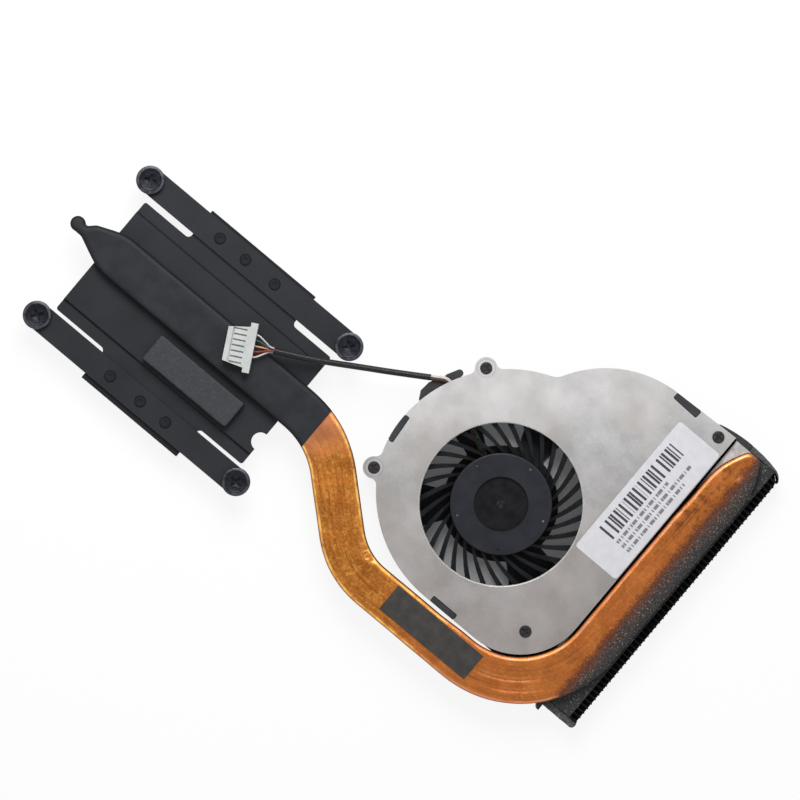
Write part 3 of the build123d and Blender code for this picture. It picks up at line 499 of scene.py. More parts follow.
# %% One screw, turned, cut and threaded
screw_low, screw_high = (corner.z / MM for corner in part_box("captive_screws"))
ring_low, ring_high = (corner.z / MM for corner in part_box("screw_retainers"))
arm_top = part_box("spring_arm_upper")[1].z / MM
screw_tip_r, screw_core_r, screw_thread_r, screw_pitch, tip_cone = 0.5, 0.78, 1.0, 0.4, 0.3
screw_shoulder_r, screw_groove_r, screw_head_r, screw_dish_r = 1.5, 1.1, 3.2, 2.6
shoulder_low = ring_low - 0.4
thread_end = shoulder_low - 0.2
head_round, head_step = 0.3, 0.1
dish_depth = 0.4
dish_wall = ((0.12, 0.1), (0.25, 0.32), (0.5, dish_depth))
screw_profile = (
    (screw_tip_r, screw_low), (screw_core_r, screw_low + tip_cone), (screw_core_r, shoulder_low),
    (screw_shoulder_r, shoulder_low), (screw_shoulder_r, ring_low), (screw_groove_r, ring_low),
    (screw_groove_r, ring_high), (screw_shoulder_r, ring_high), (screw_shoulder_r, arm_top),
    (screw_head_r, arm_top), (screw_head_r, screw_high - head_round),
    (screw_head_r - head_step, screw_high - head_step),
    (screw_head_r - head_round, screw_high), (screw_dish_r, screw_high),
    *[(screw_dish_r - inward, screw_high - down) for inward, down in dish_wall],
)
cross_size = (2.8, 0.62, 0.75)

screw = turned("captive_screw", screw_profile, 56)
cut_cross(screw, cross_size, radians(45), screw_high - dish_depth)
apply_modifier(screw, "BEVEL", width=0.05 * MM, segments=2, limit_method="ANGLE",
               angle_limit=sharp_angle)
ridge = thread("screw_thread", screw_core_r, screw_thread_r, screw_pitch, screw_low + tip_cone,
               thread_end)
take(ridge)
screw.select_set(True)
bpy.context.view_layer.objects.active = screw
bpy.ops.object.join()
bpy.ops.object.shade_smooth_by_angle(angle=radians(35))
report(screw)

# %% Four copies, each with its own mesh
low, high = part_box("captive_screws")
screw_x = (low.x + screw_head_r * MM, high.x - screw_head_r * MM)
screw_y = (low.y + screw_head_r * MM, high.y - screw_head_r * MM)
screw_turns = (12, -20, 38, 5)
screws = []
for number, (x, y) in enumerate([(x, y) for x in screw_x for y in screw_y], start=1):
    copy = new_object(f"captive_screw_{number}", screw.data.copy())
    copy.rotation_euler = (0, 0, radians(screw_turns[number - 1]))
    copy.location = (x, y, 0)
    settle(copy, copy.name)
    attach(copy, "module")
    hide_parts("captive_screws")
    screws.append(copy)
bpy.data.objects.remove(screw)
print("captive screws:", len(screws))

# %% [markdown]
# ## Softened edges
# A stamped plate or a moulded housing has no knife edges: each catches a thin line of light. The
# frame's meshes stay as they are. On top of them a Weld modifier closes the seams, a Decimate joins
# the triangles of each flat into one face, and a Bevel rounds the edges. Only pieces that show get it.

# %% Soft edges on the frame's own pieces
edge_rounds = {
    "base_plate": 0.20, "spring_arm_upper": 0.14, "spring_arm_lower": 0.14, "fan_cover": 0.12,
    "fan_housing": 0.12, "connector_housing": 0.10, "cover_screws": 0.08, "impeller": 0.06,
    "cover_label": 0.02,
}
flat_angle = radians(0.5)


def soften(node, width):
    """Round the edges of a frame node with live modifiers."""
    weld = node.modifiers.new("weld", "WELD")
    weld.merge_threshold = weld_gap
    flats = node.modifiers.new("whole_flats", "DECIMATE")
    flats.decimate_type = "DISSOLVE"
    flats.angle_limit = flat_angle
    bevel = node.modifiers.new("soft_edges", "BEVEL")
    bevel.width = width * MM
    bevel.segments = 2
    bevel.limit_method = "ANGLE"
    bevel.angle_limit = sharp_angle
    bevel.harden_normals = True


for name, width in edge_rounds.items():
    soften(nodes[name], width)
print("soft edges on", len(edge_rounds), "nodes")

# %% [markdown]
# ## Tools for finishes
# A finish is a Principled shader. Whatever is the same all over sits on the shader's own sockets,
# and nodes only bring what changes from place to place: colour, roughness and a fine bump. All
# patterns read Object coordinates, in metres, so a scale of 1000 gives features of about 1 mm. Each
# helper below adds one kind of node and gives back its output, so that a finish reads as a formula.
# An output knows the node tree that it belongs to, so the next node finds its tree by its links.

# %% Helpers for shader nodes
def rgb(red, green, blue):
    """Colour as it is read on a screen, 0 to 255, as the linear value that a shader takes."""
    def linear(value):
        value /= 255
        return value / 12.92 if value <= 0.04045 else ((value + 0.055) / 1.055) ** 2.4
    return (linear(red), linear(green), linear(blue), 1)


def new_node(tree, kind, **settings):
    """New shader node with its settings."""
    made = tree.nodes.new("ShaderNode" + kind)
    for key, value in settings.items():
        setattr(made, key, value)
    return made


def add(kind, inputs, **settings):
    """New shader node with its values and links, in the tree that the links come from."""
    links = {key: value for key, value in inputs.items() if isinstance(value, bpy.types.NodeSocket)}
    tree = next(iter(links.values())).id_data
    made = new_node(tree, kind, **settings)
    for key, value in inputs.items():
        if key in links:
            tree.links.new(value, made.inputs[key])
        else:
            made.inputs[key].default_value = value
    return made


def calc(operation, *values):
    """Result of a Math node."""
    return add("Math", dict(enumerate(values)), operation=operation).outputs[0]


def mix(share, first, second):
    """Colour between two colours."""
    return add("Mix", {0: share, 6: first, 7: second}, data_type="RGBA").outputs[2]


def ramp(value, low, high, start=0.0, end=1.0):
    """Value taken from one range to another and held at its ends."""
    ends = {"From Min": low, "From Max": high, "To Min": start, "To Max": end}
    return add("MapRange", {"Value": value, **ends}).outputs[0]


def hill(value, start, top_start, top_end, end, height=1.0):
    """Value that rises to a height, stays there and falls back to zero."""
    rise = ramp(value, start, top_start, 0.0, height)
    return calc("MULTIPLY", rise, ramp(value, top_end, end, 1.0, 0.0))


def blend(*parts):
    """Sum of (value, weight) pairs."""
    total = None
    for value, weight in parts:
        part = calc("MULTIPLY", value, weight)
        total = calc("ADD", total, part) if total else part
    return total


print("white is", rgb(255, 255, 255))

# %% Helpers for places
def places(tree):
    """Object coordinates."""
    return new_node(tree, "TexCoord").outputs["Object"]


def facing_up(place):
    """One where the surface faces up, zero where it stands upright."""
    return parts(new_node(place.id_data, "TexCoord").outputs["Normal"])[2]


def parts(vector):
    """The three parts of a vector."""
    return add("SeparateXYZ", {0: vector}).outputs


def vectors(operation, *values, result="Vector"):
    """Result of a Vector Math node, which is a vector or a value."""
    return add("VectorMath", dict(enumerate(values)), operation=operation).outputs[result]


def from_spot(place, spot):
    """Distance from an upright axis through a spot, both in metres."""
    flat = vectors("MULTIPLY", vectors("SUBTRACT", place, (*spot, 0)), (1, 1, 0))
    return vectors("LENGTH", flat, result="Value")


def beyond(value, low, high):
    """How far a value lies outside a range, and below zero inside it."""
    return calc("MAXIMUM", calc("SUBTRACT", low, value), calc("SUBTRACT", value, high))


rotor_low, rotor_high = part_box("impeller")
fan_axis = ((rotor_low.x + rotor_high.x) / 2, (rotor_low.y + rotor_high.y) / 2)
print("fan axis at", [round(value / MM, 1) for value in fan_axis], "mm")

# %% Helpers for patterns
# Noise lies about 0.5 and seldom leaves the first of these ranges. A narrower one gives more contrast.
wide, most, middle = (0.35, 0.65), (0.38, 0.62), (0.40, 0.60)


def noise(place, scale, detail=3.0, roughness=0.55):
    """Cloudy noise from about 0.3 to 0.7."""
    inputs = {"Vector": place, "Scale": scale, "Detail": detail, "Roughness": roughness}
    return add("TexNoise", inputs).outputs[0]


def mottle(patches, grains):
    """Patches with a fine grain in them."""
    return blend((patches, 0.6), (grains, 0.4))


def waves(value, pitch):
    """Sine waves from -1 to 1 along a value, with a pitch in millimetres."""
    return calc("SINE", calc("MULTIPLY", value, 2 * pi / (pitch * MM)))


print("noise is spread over", wide)

# %% Helpers for finishes
def new_finish(name, colour, roughness, metallic=0.0, gloss=0.5):
    """Material with its constant values on the shader's sockets, its shader and its places."""
    material = bpy.data.materials.new(name)
    material.use_nodes = True
    shader = material.node_tree.nodes["Principled BSDF"]
    values = {"Base Color": colour, "Roughness": roughness, "Metallic": metallic,
              "Specular IOR Level": gloss}
    for key, value in values.items():
        shader.inputs[key].default_value = value
    return material, shader, places(material.node_tree)


def wire(shader, colour, roughness=None, metallic=None):
    """Lead a colour, and what else changes from place to place, into the shader."""
    for socket, value in (("Base Color", colour), ("Roughness", roughness), ("Metallic", metallic)):
        if value:
            shader.id_data.links.new(value, shader.inputs[socket])


def bumped(shader, height, depth):
    """Fine relief of a given depth in millimetres."""
    made = add("Bump", {"Height": height, "Distance": depth * MM})
    shader.id_data.links.new(made.outputs[0], shader.inputs["Normal"])


def dress(material, *pieces):
    """Give pieces one material."""
    for piece in pieces:
        piece.data.materials.clear()
        piece.data.materials.append(material)


def plain_finish(name, dark, light, roughness, metallic=0.0, gloss=0.5, patch=6.0, grain=0.3,
                 relief=0.015, sides=None):
    """Finish that wanders between two colours in patches and in a fine grain, both sizes in mm."""
    material, shader, place = new_finish(name, light, roughness[0], metallic, gloss)
    patches = noise(place, 1 / (patch * MM))
    grains = noise(place, 1 / (grain * MM), detail=2.0)
    colour = mix(ramp(mottle(patches, grains), *most), dark, light)
    # Painted shade: faces that turn away from above take the colour of the sides.
    if sides:
        colour = mix(ramp(facing_up(place), 0.95, 0.65), colour, sides)
    wire(shader, colour, ramp(patches, *wide, *roughness))
    bumped(shader, grains, relief)
    return material


print("finish helpers ready")

# %% [markdown]
# ## Black paint
# The plate and the spring arms are sprayed satin black. Seen closely, the paint is a dark blue grey
# with a fine grain. Edges that turn away from the light get a painted shade, nearly black. The
# paint's gloss is low, because a pale studio mirrored in black paint would turn it grey. The tabs
# get a painted shade where they show past the arms, which keep the light off them.

# %% Black paint on the plate and the arms
# The last colour is a painted shade for edges and sides that turn away from the light.
paint_dark, paint_light, paint_side_shade = rgb(30, 32, 36), rgb(38, 40, 45), rgb(6, 6, 7)
paint_gloss = 0.2
tab_shade, tab_shade_share, tab_shade_fade = rgb(14, 14, 16), 0.8, 0.1 * MM
arm_edges = (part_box("spring_arm_lower")[0].y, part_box("spring_arm_upper")[1].y)


def black_paint(name):
    """Satin black spray paint, with a painted shade where it turns away from above."""
    return plain_finish(name, paint_dark, paint_light, (0.5, 0.62), gloss=paint_gloss, patch=9.0,
                        grain=0.25, relief=0.012, sides=paint_side_shade)


def plate_paint():
    """Black paint with a painted shade on the tabs, past the arms."""
    material = black_paint("plate_paint")
    tree = material.node_tree
    shader = tree.nodes["Principled BSDF"]
    paint = shader.inputs["Base Color"].links[0].from_socket
    # Painted shade: past the arms the tabs turn darker, as the arms keep the light off them.
    past_arms = beyond(parts(places(tree))[1], *arm_edges)
    wire(shader, mix(ramp(past_arms, 0.0, tab_shade_fade, 0.0, tab_shade_share), paint, tab_shade))
    return material


dress(plate_paint(), nodes["base_plate"])
dress(black_paint("arm_paint"), nodes["spring_arm_upper"], nodes["spring_arm_lower"])
print("black paint on three nodes")

# %% [markdown]
# ## Copper, paint and overspray on the pipe
# The pipe is bare satin copper. It is painted black as far as the first bend, with a straight masked
# edge, and the black of the fins was sprayed over its outer half with a soft, sparkling border. Heat
# has tinted the copper differently along its way, and long streaks follow the bends. The rounded
# edges carry a painted highlight, and the sides a painted shade in the dark brown of the stains.

# %% Copper
copper_dark, copper_light = rgb(160, 90, 34), rgb(226, 146, 68)
copper_pink, copper_red, copper_gold = rgb(210, 134, 90), rgb(198, 112, 62), rgb(236, 168, 82)
# The two rim colours are painted highlights; the dark brown is real tarnish in the stains and streaks,
# and painted shade on the sides.
rim_highlight_gold, rim_highlight_pink, tarnish_and_shade = rgb(250, 200, 112), rgb(194, 134, 102), rgb(108, 66, 42)
streak_scale, line_scale = (45.0, 1400.0, 1.0), (28.0, 2400.0, 1.0)
streak_shift = 6 * MM
pink_end, red_start, rim_highlight_change, stain_start = mm(75, 81), mm(112, 130), mm(120, 132), mm(192, 200)
highlight_slopes, side_shade_slopes = (0.60, 0.76, 0.95, 0.995), (0.66, 0.42)


def copper_colour(place, way):
    """Streaked, tinted bare copper with painted highlight on its rims and painted shade on its sides.
    """
    along = parts(way)[0]
    streaks = noise(vectors("MULTIPLY", way, streak_scale), 1.0, detail=4.0)
    lines = noise(vectors("MULTIPLY", way, line_scale), 1.0, detail=2.0)
    grain = blend((noise(place, 1800.0), 0.3), (noise(place, 160.0), 0.35), (streaks, 0.35))
    copper = mix(ramp(grain, *most), copper_dark, copper_light)
    golden = noise(place, 900.0, detail=4.0, roughness=0.65)
    copper = mix(ramp(golden, 0.53, 0.68, 0.0, 0.7), copper, copper_gold)
    tint = blend((along, 1.0), (streaks, streak_shift))
    copper = mix(ramp(tint, *pink_end, 0.85, 0.0), copper, copper_pink)
    copper = mix(ramp(tint, *red_start, 0.0, 0.6), copper, copper_red)
    stains = ramp(noise(place, 620.0, detail=4.0, roughness=0.65), 0.50, 0.62, 0.0, 0.6)
    stains = calc("MULTIPLY", stains, ramp(along, *stain_start))
    copper = mix(stains, copper, tarnish_and_shade)
    copper = mix(ramp(lines, 0.58, 0.70, 0.0, 0.55), copper, tarnish_and_shade)
    up = facing_up(place)
    # Painted highlight on the rims that face half up, broken up in patches.
    highlight_patches = ramp(noise(place, 380.0, detail=4.0), *middle, 0.15, 0.9)
    rim_highlight = mix(ramp(along, *rim_highlight_change), rim_highlight_gold, rim_highlight_pink)
    copper = mix(calc("MULTIPLY", hill(up, *highlight_slopes), highlight_patches), copper, rim_highlight)
    # Painted shade: the sides, which face away from above, turn dark brown.
    return mix(ramp(up, *side_shade_slopes, 0.0, 0.85), copper, tarnish_and_shade)


slug_copper = plain_finish("bare_copper", copper_dark, copper_light, (0.3, 0.42), 1.0)
dress(slug_copper, nodes["contact_slug"])
print("copper on the contact slug")

# %% Overspray
spray_black, spray_brown = rgb(46, 47, 48), rgb(108, 64, 50)
speck_white, speck_copper = rgb(148, 142, 134), rgb(140, 88, 56)


def spray_colour(place, copper_share):
    """Black overspray with pale specks, and copper ones where a share of the copper comes through."""
    copper_specks = ramp(noise(place, 2300.0, detail=2.0), 0.47, 0.64)
    spray = mix(calc("MULTIPLY", copper_specks, copper_share), spray_black, speck_copper)
    white_specks = ramp(noise(place, 2700.0, detail=2.0), 0.59, 0.70, 0.0, 0.8)
    return mix(white_specks, spray, speck_white)


print("overspray ready")

# %% Pipe finish
paint_border = mm(35.2, 35.0)
spray_edge = 114.0
brown_border = mm(spray_edge - 0.9, spray_edge + 0.6)
black_border = mm(spray_edge + 0.2, spray_edge + 2.0)
copper_border = mm(spray_edge, spray_edge + 3.5)
spray_wander, spray_grain = mm(2.4, 3.6)


def pipe_finish():
    """Copper, painted black over the plate and sprayed black along the fins."""
    material, shader, place = new_finish("pipe_copper_and_paint", copper_light, 0.38, 1.0, paint_gloss)
    x = parts(place)[0]
    way = new_node(material.node_tree, "Attribute", attribute_name="pipe_way").outputs["Vector"]
    fine = noise(place, 2600.0)
    patches = noise(place, 210.0, detail=4.0)
    ragged = blend((x, 1.0), (noise(place, 420.0), spray_wander), (noise(place, 2400.0), spray_grain))
    ragged = calc("SUBTRACT", ragged, (spray_wander + spray_grain) / 2)
    copper = copper_colour(place, way)
    copper = mix(ramp(ragged, *brown_border), copper, spray_brown)
    sprayed = ramp(ragged, *black_border)
    spray = spray_colour(place, ramp(x, *copper_border, 0.9, 0.08))
    painted = ramp(x, *paint_border)
    paint = mix(ramp(patches, *middle), paint_dark, paint_light)
    # Painted shade on the sides of the painted stretch.
    paint = mix(ramp(facing_up(place), 0.9, 0.6), paint, paint_side_shade)
    colour = mix(painted, mix(sprayed, copper, spray), paint)
    covered = calc("MAXIMUM", painted, sprayed)
    rounded = ramp(facing_up(place), 0.98, 0.85)
    rough = blend((ramp(patches, *wide, 0.30, 0.42), 1.0), (covered, 0.2), (rounded, 0.12))
    wire(shader, colour, rough, calc("SUBTRACT", 1.0, covered))
    gritty = calc("MULTIPLY", fine, sprayed)
    bumped(shader, blend((fine, 0.6), (gritty, 0.8)), 0.03)
    return material


dress(pipe_finish(), pipe)
print("copper and black on the pipe")

# %% [markdown]
# ## Fins
# The folded fins are aluminium, sprayed black with the pipe. Their roof is bare only beside the
# pipe's upper end. The ends of the fins, past the roof on both sides, get a painted shade, near black.

# %% Fin finish
fin_low, fin_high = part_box("fin_stack")
fin_bare, fin_bare_light, fin_tip_shade = rgb(176, 173, 171), rgb(206, 203, 200), rgb(4, 4, 5)
roof_end = (fin_high.x - fin_low.x) / MM - 2.35
roof_span = mm(0.3, 0.6, roof_end, roof_end + 0.1)
bare_span = mm(0.1, 0.2, 5.2, 6.0)
bare_reach = mm(14, 9)
roof_top = [fin_high.z - below for below in mm(0.5, 0.3)]


def fin_finish():
    """Black spray over aluminium, which stays bare on a part of the roof."""
    material, shader, place = new_finish("fin_aluminium_sprayed", fin_bare, 0.45, 1.0, 0.2)
    x, y, z = parts(place)
    fine = noise(place, 2800.0, detail=2.0)
    patches = noise(place, 300.0)
    metal = mix(ramp(patches, *middle), fin_bare, fin_bare_light)
    from_edge = calc("SUBTRACT", x, fin_low.x)
    on_roof = hill(from_edge, *roof_span)
    # Painted shade: the fin ends past the roof are near black.
    black = mix(on_roof, fin_tip_shade, spray_colour(place, 0.0))
    clear = hill(from_edge, *bare_span)
    at_end = ramp(calc("SUBTRACT", fin_high.y, y), *bare_reach)
    bare = calc("MULTIPLY", calc("MULTIPLY", clear, at_end), ramp(z, *roof_top))
    rough = blend((ramp(patches, *wide, 0.42, 0.6), 1.0), (calc("SUBTRACT", 1.0, on_roof), 0.4))
    wire(shader, mix(bare, black, metal), rough, bare)
    bumped(shader, fine, 0.02)
    return material


dress(fin_finish(), nodes["fin_stack"])
print(f"fins sprayed, roof {roof_end:.1f} mm deep")

# %% [markdown]
# ## Sheet steel of the cover
# The cover is stamped from dull plated sheet. It shows soft warm and cool clouds, a fine mottle and
# a few bright specks. A painted shade darkens it, slightly brownish, towards the pipe's side, and a
# painted light keeps the far edge pale. A painted highlight runs round the inlet, and a ring of
# painted highlight and painted shadow lies round each of the two ear screws.

# %% Cover finish
steel_dark, steel_light, steel_warm = rgb(173, 172, 172), rgb(184, 183, 184), rgb(174, 168, 164)
steel_shaded, steel_lit, steel_speck_and_highlight = rgb(152, 143, 139), rgb(214, 211, 210), rgb(212, 211, 211)
ring_shadow, steel_rim_highlight = rgb(112, 109, 108), rgb(222, 219, 217)
shade_way = (sin(picture_turn), -cos(picture_turn), 0)
shade_span, lit_span = mm(24, 64), mm(26, 14)
ear_spots = ((50.31, 2.61), (55.23, 35.54))
ear_highlight, ear_shadow = mm(1.3, 1.5, 1.8, 2.0), mm(1.8, 2.0, 2.0, 2.2)
inlet_r = 18.1
inlet_highlight_span = mm(inlet_r, inlet_r + 0.1, inlet_r + 0.2, inlet_r + 0.34)


def cover_finish():
    """Dull plated steel with painted light and shade: a gradient, rings at the ears and an inlet rim.
    """
    material, shader, place = new_finish("plated_sheet_steel", steel_light, 0.45, 0.85)
    clouds = noise(place, 130.0, detail=4.0)
    warmth = noise(place, 55.0, detail=2.0)
    fine = noise(place, 1300.0)
    colour = mix(ramp(mottle(clouds, fine), *middle), steel_dark, steel_light)
    colour = mix(ramp(warmth, 0.42, 0.62, 0.0, 0.6), colour, steel_warm)
    # Painted shade darkens the steel towards the pipe's side, and painted light makes the far edge
    # pale.
    into_shade = vectors("DOT_PRODUCT", place, shade_way, result="Value")
    colour = mix(ramp(into_shade, *shade_span, 0.0, 0.6), colour, steel_shaded)
    colour = mix(ramp(into_shade, *lit_span, 0.0, 0.45), colour, steel_lit)
    specks = ramp(noise(place, 1300.0, detail=2.0), 0.68, 0.78, 0.0, 0.4)
    colour = mix(specks, colour, steel_speck_and_highlight)
    # Painted highlight and painted shadow in a ring round each ear screw; the pale colour also gives
    # the specks.
    for spot in ear_spots:
        out = from_spot(place, mm(*spot))
        colour = mix(hill(out, *ear_highlight, 0.25), colour, steel_speck_and_highlight)
        colour = mix(hill(out, *ear_shadow, 0.35), colour, ring_shadow)
    # Painted highlight round the inlet's edge.
    rim_highlight = hill(from_spot(place, fan_axis), *inlet_highlight_span, 0.5)
    wire(shader, mix(rim_highlight, colour, steel_rim_highlight), ramp(clouds, *wide, 0.40, 0.50))
    bumped(shader, fine, 0.006)
    return material


dress(cover_finish(), nodes["fan_cover"])
print("cover steel with", len(ear_spots), "screw rings")

# %% [markdown]
# ## Fan plastics and the rotor
# The housing is matt black plastic. The impeller's hub has a satin top with five small moulding
# marks, each with a painted glint, and the blades are darker and shinier, so the distance from the
# fan's axis mixes the two, with a painted shadow on the blades next to the hub. The steel cup in the
# middle of the hub is dark and faintly turned.

# %% Marks on the hub
mark_r, mark_count, mark_start = 10.2 * MM, 5, radians(90)
mark_middle = mark_r - 0.1 * MM
mark_edge = mm(0.34, 0.16)


def hub_marks(place, out):
    """Painted glints on a circle round the fan's axis."""
    x, y, _ = parts(vectors("SUBTRACT", place, (*fan_axis, 0)))
    share = 2 * pi / mark_count
    angle = calc("SUBTRACT", calc("ARCTAN2", y, x), mark_start - share / 2)
    turn = calc("SUBTRACT", calc("FLOORED_MODULO", angle, share), share / 2)
    aside = calc("MULTIPLY", turn, mark_r)
    outward = calc("SUBTRACT", out, mark_middle)
    squares = [(calc("POWER", way, 2.0), 1.0) for way in (aside, outward)]
    return ramp(calc("SQRT", blend(*squares)), *mark_edge)


print(mark_count, "marks on the hub")

# %% Rotor finish
hub_r = 11.5
hub_border, groove_shadow_border = mm(hub_r - 0.3, hub_r - 0.1), mm(hub_r + 0.7, hub_r + 1.5)
hub_dark, hub_light, mark_glint = rgb(32, 33, 39), rgb(38, 39, 45), rgb(150, 152, 158)
blade_dark, blade_light, groove_shadow = rgb(12, 14, 17), rgb(22, 25, 30), rgb(4, 4, 5)


def rotor_finish():
    """Satin hub with painted glints, and darker, shinier blades with a painted shadow at the hub."""
    material, shader, place = new_finish("rotor_plastic", hub_light, 0.4, gloss=0.18)
    out = from_spot(place, fan_axis)
    fine = noise(place, 3000.0, detail=2.0)
    patches = noise(place, 260.0)
    hub = mix(ramp(patches, *middle), hub_dark, hub_light)
    # Painted glints on the moulding marks.
    glints = calc("MULTIPLY", hub_marks(place, out), ramp(patches, 0.40, 0.58))
    hub = mix(glints, hub, mark_glint)
    blade = mix(ramp(patches, *middle), blade_dark, blade_light)
    # Painted shadow on the blades round the hub.
    blade = mix(ramp(out, *groove_shadow_border, 0.9, 0.0), blade, groove_shadow)
    on_blade = ramp(out, *hub_border)
    wire(shader, mix(on_blade, hub, blade), ramp(on_blade, 0.0, 1.0, 0.45, 0.30))
    bumped(shader, fine, 0.006)
    return material


dress(rotor_finish(), nodes["impeller"])
print("impeller done")

# %% Housing and cup finishes
cup_dark, cup_light = rgb(15, 15, 18), rgb(22, 22, 25)
cup_pitch = 0.35


def cup_finish():
    """Dark steel with faint rings from the lathe."""
    material, shader, place = new_finish("turned_dark_steel", cup_light, 0.4, 0.3, 0.2)
    rings = waves(from_spot(place, fan_axis), cup_pitch)
    patches = noise(place, 400.0)
    share = blend((ramp(patches, *wide), 1.0), (rings, 0.12))
    wire(shader, mix(share, cup_dark, cup_light), ramp(patches, *wide, 0.35, 0.5))
    bumped(shader, rings, 0.003)
    return material


housing_black = plain_finish("housing_black", rgb(42, 43, 46), rgb(58, 59, 62), (0.5, 0.62),
                             gloss=0.25, patch=5.0, grain=0.2)
dress(housing_black, nodes["fan_housing"], nodes["thrust_pad"])
dress(cup_finish(), nodes["rotor_cup"])
print("housing and cup done")

# %% [markdown]
# ## Screws, rivets and the hidden metal
# The captive screws are black oxide over steel, with a painted highlight on the raised rim round the
# dish, so the height mixes the two. Most of the rest sits inside the fan or under the arms, and is
# finished as carefully, because the part can be taken apart.

# %% Captive screw finish
oxide_dark, oxide_light, oxide_rim_highlight = rgb(22, 23, 29), rgb(40, 41, 50), rgb(74, 75, 81)
highlight_height = mm(screw_high - 0.16, screw_high - 0.06)


def screw_finish():
    """Black oxide, with a painted highlight on the rim of the head."""
    material, shader, place = new_finish("black_oxide_steel", oxide_light, 0.38, 0.5, 0.25)
    fine = noise(place, 5000.0, detail=2.0)
    patches = noise(place, 900.0)
    colour = mix(ramp(mottle(patches, fine), *middle), oxide_dark, oxide_light)
    # Painted highlight on the raised rim of the head.
    raised_rim_highlight = calc("MULTIPLY", ramp(parts(place)[2], *highlight_height),
                  ramp(patches, 0.36, 0.56, 0.35, 1.0))
    wire(shader, mix(raised_rim_highlight, colour, oxide_rim_highlight), ramp(patches, *wide, 0.32, 0.46))
    bumped(shader, fine, 0.01)
    return material


dress(screw_finish(), *screws)
print("captive screws blackened")

# %% Small metal parts
# A sides entry paints shade on the faces that turn away from above.
small_parts = {
    "arm_rivets": ("painted_rivets", (26, 27, 31), (36, 37, 42), (0.6, 0.72),
                   {"gloss": 0.1, "patch": 2.0, "grain": 0.15, "relief": 0.012, "sides": paint_side_shade}),
    "cover_screws": ("small_black_screws", (34, 34, 36), (58, 58, 61), (0.34, 0.46),
                     {"metallic": 0.2, "gloss": 0.3, "patch": 0.9, "grain": 0.12, "relief": 0.01,
                      "sides": rgb(8, 8, 9)}),
    "screw_retainers": ("bright_steel", (120, 120, 122), (165, 165, 167), (0.25, 0.4),
                        {"metallic": 1.0, "patch": 1.5, "grain": 0.15, "relief": 0.006}),
    "rotor_shaft": ("dark_steel", (28, 28, 31), (50, 50, 54), (0.35, 0.5),
                    {"metallic": 0.6, "gloss": 0.25, "patch": 0.8, "grain": 0.1, "relief": 0.006}),
    "rotor_magnet": ("bonded_magnet", (48, 48, 50), (70, 70, 72), (0.55, 0.7),
                     {"patch": 1.5, "grain": 0.15}),
    "bearing_sleeve": ("sintered_bronze", (150, 112, 66), (190, 148, 92), (0.4, 0.55),
                       {"metallic": 1.0, "patch": 0.8, "grain": 0.1, "relief": 0.02}),
    "stator_core": ("stator_steel", (92, 93, 96), (128, 129, 132), (0.4, 0.55),
                    {"metallic": 0.9, "patch": 1.5, "grain": 0.12}),
    "motor_board": ("green_solder_mask", (18, 70, 40), (30, 92, 54), (0.3, 0.42),
                    {"patch": 2.0, "grain": 0.2}),
    "connector_contacts": ("tin_plate", (176, 172, 158), (206, 203, 192), (0.28, 0.4),
                           {"metallic": 1.0, "patch": 0.8, "grain": 0.1, "relief": 0.004}),
}
for node, (name, dark, light, roughness, settings) in small_parts.items():
    dress(plain_finish(name, rgb(*dark), rgb(*light), roughness, **settings), nodes[node])
print("small parts done:", len(small_parts))

# %% Coil windings
wire_dark, wire_light = rgb(140, 60, 22), rgb(200, 108, 48)
wire_pitch = 0.2


def coil_finish():
    """Enamelled wire: fine turns, seen as close ridges round each pole."""
    material, shader, place = new_finish("enamelled_wire", rgb(190, 96, 40), 0.3, 0.8)
    turns = waves(from_spot(place, fan_axis), wire_pitch)
    wire(shader, mix(ramp(turns, -1.0, 1.0), wire_dark, wire_light))
    bumped(shader, turns, 0.03)
    return material


dress(coil_finish(), nodes["stator_coils"])
print("coils wound")

# %% [markdown]
# ## Foam, tape and label
# Foam is matt and full of tiny cells, so a Voronoi pattern gives both its colour and its relief. The
# tape is woven: two waves across each other make the cloth. The label is plain pale paper with a
# strip of bars and three rows of dashes, all worked out by formula.

# %% Foam finish
foam_side_shade = rgb(20, 20, 22)


def foam_finish(name, dark, light, glint):
    """Matt foam with small cells, a few painted glints and a painted shade on its sides."""
    material, shader, place = new_finish(name, light, 0.9, gloss=0.15)
    cells = add("TexVoronoi", {"Vector": place, "Scale": 2600.0}).outputs["Distance"]
    patches = noise(place, 350.0)
    share = blend((cells, 0.5), (patches, 0.7))
    colour = mix(ramp(share, 0.35, 0.85), dark, light)
    glints = ramp(noise(place, 2300.0, detail=1.0), 0.64, 0.74, 0.0, 0.6)
    colour = mix(glints, colour, glint)
    # Painted shade: the sides, which face away from above, turn dark.
    colour = mix(ramp(facing_up(place), 0.8, 0.3), colour, foam_side_shade)
    wire(shader, colour, ramp(patches, *wide, 0.8, 0.95))
    bumped(shader, cells, 0.03)
    return material


dress(foam_finish("grey_foam", rgb(57, 58, 62), rgb(68, 69, 73), rgb(80, 81, 85)), foam_pad)
dress(foam_finish("black_foam", rgb(58, 59, 61), rgb(98, 99, 101), rgb(150, 150, 148)), *foam_strips)
print("foam done")

# %% Tape finish
tape_dark, tape_light = rgb(54, 52, 51), rgb(76, 74, 72)
tape_pitch = 0.28


def tape_finish():
    """Dark woven cloth."""
    material, shader, place = new_finish("woven_tape", rgb(64, 63, 62), 0.75, gloss=0.2)
    x, y, _ = parts(place)
    weave = calc("MULTIPLY", waves(x, tape_pitch), waves(y, tape_pitch))
    patches = noise(place, 400.0)
    share = blend((weave, 0.12), (patches, 1.0))
    colour = mix(ramp(share, 0.3, 0.75), tape_dark, tape_light)
    wire(shader, colour, ramp(patches, *wide, 0.68, 0.82))
    bumped(shader, weave, 0.02)
    return material


dress(tape_finish(), tape)
print("tape woven")

